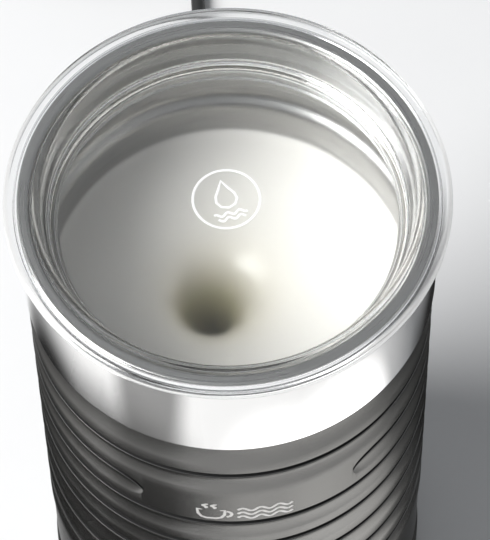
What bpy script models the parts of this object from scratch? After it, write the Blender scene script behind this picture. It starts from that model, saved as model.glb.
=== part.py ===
"""Milk frother: a jug with a clear lid and a magnetic whisk, on a power base with a mains cord.

Metres, +Z up. The origin is on the jug's axis, on the surface that the base stands on.
The front, with the start button, faces -Y, and the cord leaves the base at the back, towards +Y.
"""

from math import ceil, cos, pi, radians, sin

import bmesh
import bpy
from mathutils import Vector

MM = 0.001

# Gaps between pieces
CLEAR = 0.3 * MM  # pieces that touch
RUN = 0.6 * MM  # pieces that move past each other

# Overall sizes
BODY_R = 49.0 * MM
SLEEVE_H = 103.5 * MM
COLLAR_H = 30.8 * MM
BASE_H = 22.0 * MM
BASE_R = 49.0 * MM

# Walls
BASE_WALL = 2.2 * MM
RING_WALL = 2.4 * MM
SLEEVE_WALL = 2.7 * MM
COLLAR_WALL = 1.0 * MM
STEEL = 0.8 * MM
LID_WALL = 1.6 * MM

# Power base
FOOT_R = 5.0 * MM
FOOT_H = 2.5 * MM
PLATE_T = 2.2 * MM
SKIRT_Z = 1.5 * MM
BASE_EDGE = 4.0 * MM
HUB_R = 16.5 * MM
HUB_GAP = 0.5 * MM
HUB_RISE = 9.0 * MM
HUB_FLANGE = 6.0 * MM
HUB_FLANGE_T = 2.0 * MM
SLOT_IN_R = 6.5 * MM
SLOT_W = 2.5 * MM
SLOT_DEPTH = 5.0 * MM
CONTACT_T = 0.7 * MM
PIN_HOLE_R = 3.0 * MM
DISH_INSET = 16.0 * MM
DISH_DEPTH = 1.6 * MM
FEET_INSET = 11.0 * MM
TERMINAL = (16 * MM, 10 * MM, 7 * MM)
TERMINAL_INSET = 16.0 * MM
LEAD_R = 0.9 * MM
BOSS_R = 3.5 * MM
SCREW_R = 1.4 * MM
SCREW_HEAD_R = 3.0 * MM
SCREW_HEAD_T = 1.2 * MM
SCREW_HOLE_R = SCREW_R + CLEAR
BASE_SCREW_L = 9.5 * MM
BASE_BOSS_INSET = 7.0 * MM

# Jug's foot and the connector in it
COVER_LIFT = 2.4 * MM
COVER_T = 2.5 * MM
COVER_SCREW_L = 11.0 * MM
COVER_BOSS_H = 14.0 * MM
RING_EDGE = 0.95 * MM
CONNECTOR_WALL = 2.2 * MM
CONNECTOR_TOP_T = 3.2 * MM
CONNECTOR_FLANGE = 3.5 * MM
CONNECTOR_FLANGE_T = 2.0 * MM
CONNECTOR_LIFT = 1.2 * MM
CONNECTOR_PIN_R = 1.6 * MM
CONNECTOR_PIN_HEAD_R = 3.2 * MM

# Sleeve
RIB_TOP = 13.1 * MM
RIB_PITCH = 12.87 * MM
RIB_DEPTH = 1.1 * MM
RIB_SLOT = 1.1 * MM
RIB_LAND = 3.1 * MM
PANEL_HALF_DEG = 27.0

# Collar and vessel
COLLAR_PROUD = 0.4 * MM
NECK_GAP = 1.2 * MM
SHOULDER_IN = 2.5 * MM
SHOULDER_H = 2.6 * MM
SHOULDER_Z = 1.1 * MM
DRIVE_ROOM = 28.9 * MM  # from the sleeve's foot up to the bowl's floor
VESSEL_CORNER = 6.0 * MM
GASKET_H = 4.0 * MM
GASKET_DROP = 1.6 * MM

# Lid
LID_REACH = 3.1 * MM
LID_RECESS = 8.2 * MM
LID_SKIRT = 5.4 * MM
LID_PLUG_GAP = 1.8 * MM
LID_DROP = 1.8 * MM
SEAL_H = 3.0 * MM
SEAL_BITE = 1.2 * MM

# Whisk and drive
POST_R = 2.0 * MM
POST_H = 13.0 * MM
WHISK_DISC_R = 12.9 * MM
WHISK_DISC_T = 3.0 * MM
WHISK_LIFT = 2.0 * MM
WHISK_HUB_WALL = 2.2 * MM
WHISK_CAP_T = 1.4 * MM
GROOVE_WALL = 1.6 * MM
COIL_GAP = 0.7 * MM
COIL_WIRE_R = 2.0 * MM
HEATER_T = 4.3 * MM
HEATER_IN_R = 20.0 * MM
HEATER_INSET = 5.9 * MM
CARRIER_R = 14.0 * MM
CARRIER_T = 4.0 * MM
MAGNET_R = 3.2 * MM
MAGNET_T = 1.8 * MM
MAGNET_RING_R = 8.5 * MM
SHAFT_R = 1.6 * MM
MOTOR_R = 16.0 * MM
MOTOR_H = 24.0 * MM
MOTOR_NOSE_R = 6.0 * MM
MOTOR_NOSE_H = 2.0 * MM
BUSH_R = 4.0 * MM
BUSH_H = 3.0 * MM
MOTOR_SCREW_R = 1.2 * MM
MOTOR_SCREW_RING_R = 10.5 * MM
BRACKET_GAP = 4.3 * MM
BRACKET_T = 1.6 * MM
BRACKET_RIM = 4.7 * MM

# Electrics in the jug
BOARD_T = 1.6 * MM
BOARD_GAP = 3.3 * MM
BOARD_LIFT = 10.0 * MM
RELAY = (10 * MM, 15 * MM, 10 * MM)
RELAY_GAP = 9.0 * MM
THERMOSTAT_R = 6.0 * MM
FUSE_R = 1.8 * MM
FUSE_L = 12.0 * MM

# Start button
BUTTON_R = 5.8 * MM
BUTTON_T = 4.6 * MM
BUTTON_TRAVEL = 1.2 * MM
BUTTON_PROUD = 0.4 * MM
BEZEL_T = 1.3 * MM
BEZEL_DEEP = 5.0 * MM
LIGHT_T = 1.1 * MM
LIGHT_SINK = 0.9 * MM
STEM_R = 1.8 * MM
STEM_L = 9.0 * MM
SWITCH = 6.0 * MM
SWITCH_T = 3.4 * MM
SWITCH_BOARD = (18 * MM, 15 * MM)

# Cord
CORD_R = 2.0 * MM
CORD_EXIT_Z = 10.6 * MM
CORD_HOLE_R = 4.2 * MM
RELIEF_FLANGE = 1.4 * MM
RELIEF_FLANGE_T = 1.5 * MM
RELIEF_STEP = 2.5 * MM
RELIEF_WALL = 0.8 * MM
RELIEF_L = 28.0 * MM
CORD_LIFT = 0.1 * MM
COIL_X = -17.8 * MM
COIL_Y = 213.0 * MM
COIL_R = 23.0 * MM
COIL_TURNS_R = 4.5 * MM
COIL_LOW = 0.9 * MM
COIL_TOP = 9.0 * MM
COIL_SOFT = 1.8 * MM
TIE_W = 7.0 * MM
TIE_T = 0.5 * MM
PLUG_L = 34.0 * MM
PLUG_W = 26.0 * MM
PLUG_T = 13.6 * MM
PLUG_X = -47.0 * MM
PLUG_BEVEL = 2.2 * MM
PIN_R = 2.0 * MM
PIN_L = 19.0 * MM
PIN_PITCH = 18.6 * MM
PIN_TIP = 0.8 * MM

# Facets round large, middling and small pieces
LARGE, MIDDLE, SMALL = 32, 20, 12

# Heights and radii that the sizes above give
BUTTON_OPENING = BUTTON_R + RUN + BEZEL_T + LIGHT_T + 3 * CLEAR
FOOT_RING_H = COVER_LIFT + COVER_T + 2 * (BUTTON_OPENING + RING_EDGE)
BASE_UNDER_Z = FOOT_H + CLEAR
PLATE_TOP_Z = BASE_UNDER_Z + PLATE_T
DISH_Z = BASE_H - DISH_DEPTH
HUB_TOP_Z = BASE_H + HUB_RISE
RING_Z = BASE_H + RUN
SLEEVE_Z = RING_Z + FOOT_RING_H + CLEAR
COLLAR_Z = SLEEVE_Z + SLEEVE_H + CLEAR
COLLAR_TOP_Z = COLLAR_Z + COLLAR_H
LIP_Z = COLLAR_TOP_Z + CLEAR + STEEL
COLLAR_R = BODY_R + COLLAR_PROUD
NECK_R = COLLAR_R - COLLAR_WALL - NECK_GAP - STEEL
BOWL_R = NECK_R - SHOULDER_IN
FLOOR_Z = SLEEVE_Z + DRIVE_ROOM
CONNECTOR_TOP_Z = HUB_TOP_Z + RUN
CONNECTOR_R = HUB_R + RUN + 0.2 * MM
COVER_Z = RING_Z + COVER_LIFT
RING_IN_R = BODY_R - COLLAR_PROUD - RING_WALL - CLEAR
RING_BOSS_R = RING_IN_R - BOSS_R + 0.6 * MM
BUTTON_Z = (COVER_Z + COVER_T + RING_Z + FOOT_RING_H) / 2
SLOT_OUT_R = SLOT_IN_R + SLOT_W
DISH_R = BASE_R - DISH_INSET
FEET_RING_R = BASE_R - FEET_INSET
BASE_BOSS_RING_R = BASE_R - BASE_BOSS_INSET
COIL_RING_R = WHISK_DISC_R + COIL_GAP + COIL_WIRE_R
HEATER_OUT_R = BOWL_R - HEATER_INSET
BRACKET_R = BODY_R - SLEEVE_WALL - BRACKET_GAP
BOARD_R = BODY_R - SLEEVE_WALL - BOARD_GAP


def material(name, colour, roughness, metallic=0.0, transmission=0.0):
    made = bpy.data.materials.new(name)
    made.use_nodes = True
    shader = made.node_tree.nodes["Principled BSDF"]
    shader.inputs["Base Color"].default_value = (*colour, 1.0)
    shader.inputs["Roughness"].default_value = roughness
    shader.inputs["Metallic"].default_value = metallic
    shader.inputs["Transmission Weight"].default_value = transmission
    made.diffuse_color = (*colour, 1.0)
    return made


def place(name, mesh, finish, parent=None, at=(0, 0, 0), turn=None):
    """Puts a mesh in the scene as one named piece."""
    piece = bpy.data.objects.new(name, mesh)
    bpy.context.collection.objects.link(piece)
    if turn is not None:
        piece.rotation_euler = turn
    piece.location = at
    piece.parent = parent
    if finish is not None:
        mesh.materials.append(finish)
    return piece


def axis_at(name, at):
    """An empty on a joint's axis, which the moving pieces hang on."""
    empty = bpy.data.objects.new(name, None)
    bpy.context.collection.objects.link(empty)
    empty.location = at
    return empty


def closed_mesh(name, bm):
    bmesh.ops.remove_doubles(bm, verts=bm.verts, dist=0.00001)
    bmesh.ops.recalc_face_normals(bm, faces=bm.faces)
    mesh = bpy.data.meshes.new(name)
    bm.to_mesh(mesh)
    bm.free()
    mesh.shade_smooth()
    mesh.set_sharp_from_angle(angle=radians(35))
    return mesh


def turned_mesh(name, outline, steps):
    """Spins an outline of (radius, height) points round Z. One that ends on the axis stays open there."""
    bm = bmesh.new()
    points = [bm.verts.new((r, 0, z)) for r, z in outline]
    on_axis = outline[0][0] == 0 and outline[-1][0] == 0
    pairs = list(zip(points, points[1:])) + ([] if on_axis else [(points[-1], points[0])])
    edges = [bm.edges.new(pair) for pair in pairs]
    bmesh.ops.spin(bm, geom=points + edges, axis=(0, 0, 1), cent=(0, 0, 0),
                   angle=2 * pi, steps=steps, use_merge=True)
    return closed_mesh(name, bm)


def turned(name, outline, finish, steps=LARGE, **where):
    return place(name, turned_mesh(name, outline, steps), finish, **where)


def disc(name, radius, low, high, finish, steps=SMALL, **where):
    return turned(name, [(0, high), (radius, high), (radius, low), (0, low)], finish, steps, **where)


def ring(name, inner, outer, low, high, finish, steps=MIDDLE, **where):
    return turned(name, [(outer, high), (outer, low), (inner, low), (inner, high)], finish, steps, **where)


def block(name, size, centre, finish, bevel=0.0, **where):
    bm = bmesh.new()
    bmesh.ops.create_cube(bm, size=1.0)
    bmesh.ops.scale(bm, vec=size, verts=bm.verts)
    bmesh.ops.translate(bm, vec=centre, verts=bm.verts)
    if bevel:
        bmesh.ops.bevel(bm, geom=bm.edges[:], offset=bevel, segments=1, profile=0.5,
                        affect="EDGES", material=-1)
    return place(name, closed_mesh(name, bm), finish, **where)


def screw(name, radius, head_radius, length, finish, **where):
    """A pan-head screw whose head's seat is at height 0 and whose thread goes up from it."""
    outline = [(0, length), (radius, length), (radius, 0), (head_radius, 0),
               (head_radius * 0.9, -SCREW_HEAD_T), (0, -SCREW_HEAD_T)]
    return turned(name, outline, finish, SMALL, **where)


def helper(piece):
    piece.hide_render = True
    piece.display_type = "WIRE"
    return piece


def combine(piece, other, operation):
    cut = piece.modifiers.new(f"{operation.lower()} {other.name}", "BOOLEAN")
    cut.operation = operation
    cut.solver = "EXACT"
    cut.object = helper(other)


def around(radius, angle_deg, height=0.0):
    return (radius * cos(radians(angle_deg)), radius * sin(radians(angle_deg)), height)


def add_bosses(piece, low, high, screw_top, ring_radius, angles):
    """Joins upright screw bosses, each with a blind hole from below, to a piece."""
    for angle in angles:
        boss = turned(f"{piece.name}_boss_{angle:.0f}", [
            (0, high), (BOSS_R, high), (BOSS_R, low), (SCREW_HOLE_R, low), (SCREW_HOLE_R, screw_top + CLEAR),
            (0, screw_top + CLEAR),
        ], None, SMALL, at=around(ring_radius, angle))
        combine(piece, boss, "UNION")


def drill(piece, radius, low, high, ring_radius, angles):
    """Cuts upright round holes through a piece, on a circle round the axis."""
    off_the_facets = (0, 0, radians(8))
    for angle in angles:
        hole = disc(f"{piece.name}_hole_{angle:.0f}", radius, low, high, None,
                    at=around(ring_radius, angle), turn=off_the_facets)
        combine(piece, hole, "DIFFERENCE")


def smooth_route(points, spacing):
    """Points about one spacing apart on a Catmull-Rom curve through the route's own points."""
    knots = [Vector(p) for p in points]
    knots = [knots[0] * 2 - knots[1], *knots, knots[-1] * 2 - knots[-2]]
    route = []
    for a, b, c, d in zip(knots, knots[1:], knots[2:], knots[3:]):
        count = max(1, ceil((c - b).length / spacing))
        for i in range(count):
            t = i / count
            route.append(0.5 * (2 * b + (c - a) * t + (2 * a - 5 * b + 4 * c - d) * t**2
                                + (3 * b - a - 3 * c + d) * t**3))
    return [*route, knots[-2]]


def tube(name, points, radius, finish, resolution=2, spacing=None, **where):
    """A round cord or wire along a smooth curve through the points."""
    curve = bpy.data.curves.new(name, "CURVE")
    curve.dimensions = "3D"
    curve.bevel_depth = radius
    curve.bevel_resolution = resolution
    curve.use_fill_caps = True
    route = smooth_route(points, spacing or 5 * radius)
    spline = curve.splines.new("POLY")
    spline.points.add(len(route) - 1)
    for point, p in zip(spline.points, route):
        point.co = (*p, 1)
    return place(name, curve, finish, **where)


# Finishes
GRAPHITE = material("graphite_plastic", (0.13, 0.127, 0.12), 0.38)
BLACK = material("black_plastic", (0.02, 0.02, 0.022), 0.4)
POLISHED = material("polished_steel", (0.86, 0.85, 0.83), 0.1, 1.0)
SATIN = material("satin_steel", (0.5, 0.5, 0.49), 0.35, 1.0)
CLEAR_PLASTIC = material("clear_plastic", (0.95, 0.96, 0.96), 0.04, 0.0, 1.0)
CLEAR_SILICONE = material("clear_silicone", (0.85, 0.86, 0.86), 0.3, 0.0, 0.8)
GREY_SILICONE = material("grey_silicone", (0.3, 0.3, 0.3), 0.6)
RUBBER = material("rubber", (0.03, 0.03, 0.03), 0.7)
CORD = material("cord_black", (0.025, 0.025, 0.025), 0.5)
BRASS = material("brass", (0.78, 0.6, 0.28), 0.3, 1.0)
ZINC = material("zinc_steel", (0.6, 0.6, 0.6), 0.35, 1.0)
ALUMINIUM = material("aluminium", (0.72, 0.72, 0.73), 0.35, 1.0)
MAGNET = material("magnet", (0.28, 0.28, 0.29), 0.4, 1.0)
WHITE_NYLON = material("white_nylon", (0.8, 0.8, 0.78), 0.5)
BOARD = material("board_green", (0.05, 0.2, 0.09), 0.5)
LIGHT = material("light_diffuser", (0.85, 0.87, 0.9), 0.35, 0.0, 0.5)

THREE = (90, 210, 330)


def make_base():
    skirt_in_r = BASE_R - BASE_WALL
    hole_r = HUB_R + CLEAR + HUB_GAP
    edge = BASE_EDGE
    housing = turned("base_housing", [
        (BASE_R - 0.6 * MM, SKIRT_Z), (BASE_R, SKIRT_Z + 1.2 * MM), (BASE_R, BASE_H - edge),
        (BASE_R - 0.3 * edge, BASE_H - 0.3 * edge), (BASE_R - edge, BASE_H), (DISH_R, BASE_H),
        (DISH_R - DISH_DEPTH, DISH_Z), (hole_r, DISH_Z), (hole_r, DISH_Z - BASE_WALL),
        (skirt_in_r - edge, DISH_Z - BASE_WALL), (skirt_in_r, BASE_H - edge - BASE_WALL),
        (skirt_in_r, SKIRT_Z),
    ], GRAPHITE)
    boss_angles = [angle + 30 for angle in THREE]
    add_bosses(housing, PLATE_TOP_Z + CLEAR, DISH_Z - BASE_WALL / 2, BASE_UNDER_Z + BASE_SCREW_L,
               BASE_BOSS_RING_R, boss_angles)
    outside, inside = BASE_R + 5 * MM, BASE_R - 6 * MM
    cord_hole = turned("cord_hole", [(0, outside), (CORD_HOLE_R, outside), (CORD_HOLE_R, inside), (0, inside)],
                       None, SMALL, at=(0, 0, CORD_EXIT_Z), turn=(-pi / 2, 0, 0))
    combine(housing, cord_hole, "DIFFERENCE")

    plate = disc("base_plate", skirt_in_r - CLEAR, BASE_UNDER_Z, PLATE_TOP_Z, BLACK, LARGE)
    drill(plate, SCREW_HOLE_R, BASE_UNDER_Z - MM, PLATE_TOP_Z + MM, BASE_BOSS_RING_R, boss_angles)
    for i, angle in enumerate(boss_angles, 1):
        screw(f"base_screw_{i}", SCREW_R, SCREW_HEAD_R, BASE_SCREW_L, ZINC,
              at=around(BASE_BOSS_RING_R, angle, BASE_UNDER_Z - CLEAR))
    for i, angle in enumerate(THREE, 1):
        disc(f"rubber_foot_{i}", FOOT_R, 0, FOOT_H, RUBBER, 18, at=around(FEET_RING_R, angle))

    flange_top = DISH_Z - BASE_WALL - CLEAR
    flange_z = flange_top - HUB_FLANGE_T
    slot_z = HUB_TOP_Z - SLOT_DEPTH
    turned("socket_hub", [
        (0, flange_z), (HUB_R + HUB_FLANGE, flange_z), (HUB_R + HUB_FLANGE, flange_top),
        (HUB_R, flange_top), (HUB_R, HUB_TOP_Z - MM), (HUB_R - MM, HUB_TOP_Z),
        (SLOT_OUT_R, HUB_TOP_Z), (SLOT_OUT_R, slot_z), (SLOT_IN_R, slot_z), (SLOT_IN_R, HUB_TOP_Z),
        (PIN_HOLE_R, HUB_TOP_Z), (PIN_HOLE_R, flange_top + MM), (0, flange_top + MM),
    ][::-1], BLACK, MIDDLE)
    ring("socket_contact", SLOT_IN_R + CLEAR, SLOT_OUT_R - CLEAR, slot_z + CLEAR,
         slot_z + CLEAR + CONTACT_T, BRASS)

    terminal_y = BASE_R - TERMINAL_INSET
    block("terminal_block", TERMINAL, (0, terminal_y, PLATE_TOP_Z + CLEAR + TERMINAL[2] / 2), WHITE_NYLON,
          bevel=0.6 * MM)
    lead_z = PLATE_TOP_Z + 1.6 * MM
    lead_y = terminal_y - TERMINAL[1] / 2 - 0.5 * MM
    for i, side in enumerate((-1, 1), 1):
        tube(f"base_lead_{i}", [(side * 5 * MM, lead_y, lead_z + MM), (side * 7 * MM, 22 * MM, lead_z),
                                (side * 9 * MM, 14 * MM, lead_z), (side * 8 * MM, 6 * MM, lead_z + MM),
                                (side * 6 * MM, 2 * MM, flange_z - CLEAR - 1.4 * MM)],
             LEAD_R, CORD, resolution=1)


def relief_profile():
    """The gland's outline: a flange inside the wall, a neck through it and a tapered tail."""
    bore = CORD_R + CLEAR
    wall_in = BASE_R - BASE_WALL
    neck = CORD_HOLE_R - CLEAR
    flange = neck + RELIEF_FLANGE
    out = BASE_R + CLEAR
    flange_out = wall_in - 3 * CLEAR
    flange_in = flange_out - RELIEF_FLANGE_T
    return [
        (bore, flange_in), (bore, out + RELIEF_L), (bore + RELIEF_WALL, out + RELIEF_L),
        (flange, out + RELIEF_STEP), (flange, out), (neck, out), (neck, flange_out),
        (flange, flange_out), (flange, flange_in),
    ]


def make_cord():
    exit_z = CORD_EXIT_Z
    floor_z = CORD_R + CORD_LIFT
    turned("strain_relief", relief_profile(), CORD, SMALL, at=(0, 0, exit_z), turn=(-pi / 2, 0, 0))
    tube("mains_cord", [
        (0, 0.0405, exit_z), (0, 0.058, exit_z), (0, 0.080, exit_z), (0.0002, 0.092, exit_z - 0.0016),
        (0.0006, 0.106, floor_z + 0.0012), (0.0012, 0.118, floor_z), (0.0024, 0.135, floor_z),
        (0.0038, 0.152, floor_z), (0.0048, 0.168, floor_z), (0.0052, 0.182, floor_z),
        (0.0052, 0.1947, floor_z + 0.0006),
    ], CORD_R, CORD, spacing=4 * CORD_R)
    out, inn = COIL_R + COIL_TURNS_R, COIL_R - COIL_TURNS_R
    soft = COIL_SOFT
    turned("cord_coil", [
        (out - soft, COIL_TOP), (out, COIL_TOP - soft), (out, COIL_LOW + soft), (out - soft, COIL_LOW),
        (inn + soft, COIL_LOW), (inn, COIL_LOW + soft), (inn, COIL_TOP - soft), (inn + soft, COIL_TOP),
    ], CORD, 32, at=(COIL_X, COIL_Y, 0))
    plug_z = PLUG_T / 2 + CORD_LIFT
    plug_y = COIL_Y + COIL_R
    tube("cord_tail", [
        (COIL_X - 0.0182, plug_y, plug_z), (COIL_X - 0.0235, plug_y, plug_z),
        (PLUG_X + CLEAR, plug_y, plug_z),
    ], CORD_R, CORD, spacing=4 * CORD_R)

    bm = bmesh.new()
    bmesh.ops.create_cube(bm, size=1.0)
    bow = TIE_W**2 / (8 * inn)
    around_tie = 2 * (CLEAR + TIE_T)
    bmesh.ops.scale(bm, vec=(TIE_W, out - inn + 2 * bow + around_tie, COIL_TOP - COIL_LOW + around_tie),
                    verts=bm.verts)
    sides = [f for f in bm.faces if abs(f.normal.x) > 0.5]
    bmesh.ops.inset_individual(bm, faces=sides, thickness=TIE_T)
    rims = [e for f in sides for e in f.edges]
    bmesh.ops.delete(bm, geom=sides, context="FACES_ONLY")
    bmesh.ops.bridge_loops(bm, edges=rims)
    place("cord_tie", closed_mesh("cord_tie", bm), RUBBER,
          at=(COIL_X, COIL_Y - COIL_R, (COIL_TOP + COIL_LOW) / 2))

    block("plug_body", (PLUG_L, PLUG_W, PLUG_T), (PLUG_X - PLUG_L / 2, plug_y, plug_z), CORD,
          bevel=PLUG_BEVEL)
    front = PLUG_X - PLUG_L
    for i, side in enumerate((-1, 1), 1):
        at = (front - CLEAR, plug_y + side * PIN_PITCH / 2, plug_z)
        turned(f"plug_pin_{i}", [(0, PIN_L), (PIN_R - PIN_TIP, PIN_L), (PIN_R, PIN_L - MM), (PIN_R, 0),
                                 (0, 0)], BRASS, SMALL, at=at, turn=(0, -pi / 2, 0))


def make_connector(axis):
    inner, outer = CONNECTOR_R, CONNECTOR_R + CONNECTOR_WALL
    low = BASE_H + CONNECTOR_LIFT
    top = CONNECTOR_TOP_Z + CONNECTOR_TOP_T
    flange_z = COVER_Z + COVER_T + RUN
    flange_top = flange_z + CONNECTOR_FLANGE_T
    flange_r = outer + CONNECTOR_FLANGE
    pin_gap = CONNECTOR_PIN_R + CLEAR
    turned("jug_connector", [
        (pin_gap, top), (outer, top), (outer, flange_top), (flange_r, flange_top), (flange_r, flange_z),
        (outer, flange_z), (outer, low), (inner, low), (inner, CONNECTOR_TOP_Z), (pin_gap, CONNECTOR_TOP_Z),
    ], BLACK, MIDDLE, parent=axis)
    turned("connector_pin", [
        (0, top + 1.5 * MM), (CONNECTOR_PIN_HEAD_R, top + 1.5 * MM), (CONNECTOR_PIN_HEAD_R, top + CLEAR),
        (CONNECTOR_PIN_R, top + CLEAR), (CONNECTOR_PIN_R, BASE_H + MM), (0, BASE_H + 0.4 * MM),
    ], BRASS, SMALL, parent=axis)
    ring("connector_ring", SLOT_IN_R + RUN, SLOT_OUT_R - RUN, HUB_TOP_Z - SLOT_DEPTH + 1.6 * MM,
         CONNECTOR_TOP_Z - CLEAR, BRASS, parent=axis)


def sleeve_profile():
    """Down the ribbed outside, each rib a black slot, a floor that slopes out and a raised land."""
    top = SLEEVE_Z + SLEEVE_H
    count = int((SLEEVE_H - RIB_TOP + 0.5 * MM) / RIB_PITCH)
    outline = [(BODY_R - SLEEVE_WALL, top), (BODY_R - 0.2 * MM, top), (BODY_R, top - MM)]
    slots = [top - RIB_TOP - i * RIB_PITCH for i in range(count)]
    for z in slots:
        outline += [(BODY_R, z), (BODY_R - RIB_DEPTH, z - 0.1 * MM),
                    (BODY_R - RIB_DEPTH, z - RIB_SLOT), (BODY_R, z - RIB_PITCH + RIB_LAND)]
    outline += [(BODY_R, SLEEVE_Z), (BODY_R - SLEEVE_WALL, SLEEVE_Z)]
    return outline, slots


def make_sleeve(axis):
    outline, slots = sleeve_profile()
    sleeve = turned("sleeve", outline, GRAPHITE, parent=axis)
    filled_top, filled_low = slots[1] + 0.05 * MM, slots[1] - RIB_PITCH + RIB_LAND
    for vertex in sleeve.data.vertices:
        x, y, z = vertex.co
        radius = (x * x + y * y) ** 0.5
        front = -y / radius > cos(radians(PANEL_HALF_DEG))
        if front and filled_low < z < filled_top and radius > BODY_R - SLEEVE_WALL + MM / 2:
            vertex.co.x, vertex.co.y = x * BODY_R / radius, y * BODY_R / radius
    sleeve.data.update()


def make_shells(axis):
    ring_r = BODY_R - COLLAR_PROUD
    top = RING_Z + FOOT_RING_H
    foot_ring = turned("foot_ring", [
        (ring_r - 1.5 * MM, RING_Z), (ring_r, RING_Z + 1.5 * MM), (ring_r, top),
        (RING_IN_R, top), (RING_IN_R, RING_Z),
    ], GRAPHITE, parent=axis)
    cover_top = COVER_Z + COVER_T
    add_bosses(foot_ring, cover_top + CLEAR, cover_top + COVER_BOSS_H, COVER_Z + COVER_SCREW_L, RING_BOSS_R,
               THREE)
    outside, inside = BODY_R + MM, BODY_R - STEM_L
    button_hole = turned("button_hole", [(0, outside), (BUTTON_OPENING, outside), (BUTTON_OPENING, inside),
                                         (0, inside)],
                         None, MIDDLE, at=(0, 0, BUTTON_Z), turn=(pi / 2, 0, 0))
    combine(foot_ring, button_hole, "DIFFERENCE")

    cover = ring("jug_bottom_cover", CONNECTOR_R + CONNECTOR_WALL + RUN + 0.4 * MM, RING_IN_R - CLEAR,
                 COVER_Z, cover_top, BLACK, LARGE, parent=axis)
    drill(cover, SCREW_HOLE_R, COVER_Z - MM, cover_top + MM, RING_BOSS_R, THREE)
    for i, angle in enumerate(THREE, 1):
        screw(f"cover_screw_{i}", SCREW_R, SCREW_HEAD_R - 0.4 * MM, COVER_SCREW_L, ZINC, parent=axis,
              at=around(RING_BOSS_R, angle, COVER_Z - CLEAR))

    make_sleeve(axis)
    turned("collar", [
        (COLLAR_R - 0.3 * MM, COLLAR_TOP_Z), (COLLAR_R, COLLAR_TOP_Z - 0.6 * MM),
        (COLLAR_R, COLLAR_Z + 0.6 * MM), (COLLAR_R - 0.4 * MM, COLLAR_Z),
        (COLLAR_R - COLLAR_WALL, COLLAR_Z), (COLLAR_R - COLLAR_WALL, COLLAR_TOP_Z),
    ], POLISHED, parent=axis)
    shoulder_low = COLLAR_Z + SHOULDER_Z
    shoulder_top = shoulder_low + SHOULDER_H
    corner_z = FLOOR_Z + VESSEL_CORNER
    bowl_out, neck_out = BOWL_R + STEEL, NECK_R + STEEL
    corner_in = BOWL_R - VESSEL_CORNER
    turned("vessel", [
        (0, FLOOR_Z), (corner_in, FLOOR_Z), (BOWL_R - 0.3 * VESSEL_CORNER, FLOOR_Z + 0.3 * VESSEL_CORNER),
        (BOWL_R, corner_z), (BOWL_R, shoulder_low), (NECK_R, shoulder_top), (NECK_R, LIP_Z - 0.5 * MM),
        (NECK_R + 0.5 * MM, LIP_Z), (COLLAR_R - 0.2 * MM, LIP_Z), (COLLAR_R - 0.2 * MM, LIP_Z - STEEL),
        (neck_out, LIP_Z - STEEL), (neck_out, shoulder_top - 0.4 * MM), (bowl_out, shoulder_low - 0.4 * MM),
        (bowl_out, corner_z), (bowl_out - 0.3 * VESSEL_CORNER, FLOOR_Z - STEEL + 0.3 * VESSEL_CORNER),
        (corner_in, FLOOR_Z - STEEL), (0, FLOOR_Z - STEEL),
    ], SATIN, parent=axis)
    gasket_top = SLEEVE_Z + SLEEVE_H - GASKET_DROP
    ring("vessel_gasket", bowl_out + CLEAR, BODY_R - SLEEVE_WALL - CLEAR, gasket_top - GASKET_H,
         gasket_top, GREY_SILICONE, LARGE, parent=axis)
    turned("whisk_post", [
        (0, FLOOR_Z + POST_H), (POST_R - 0.5 * MM, FLOOR_Z + POST_H), (POST_R, FLOOR_Z + POST_H - MM),
        (POST_R, FLOOR_Z + MM), (2.4 * POST_R, FLOOR_Z + MM), (2.4 * POST_R, FLOOR_Z + CLEAR),
        (0, FLOOR_Z + CLEAR),
    ], SATIN, SMALL, parent=axis)


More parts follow.
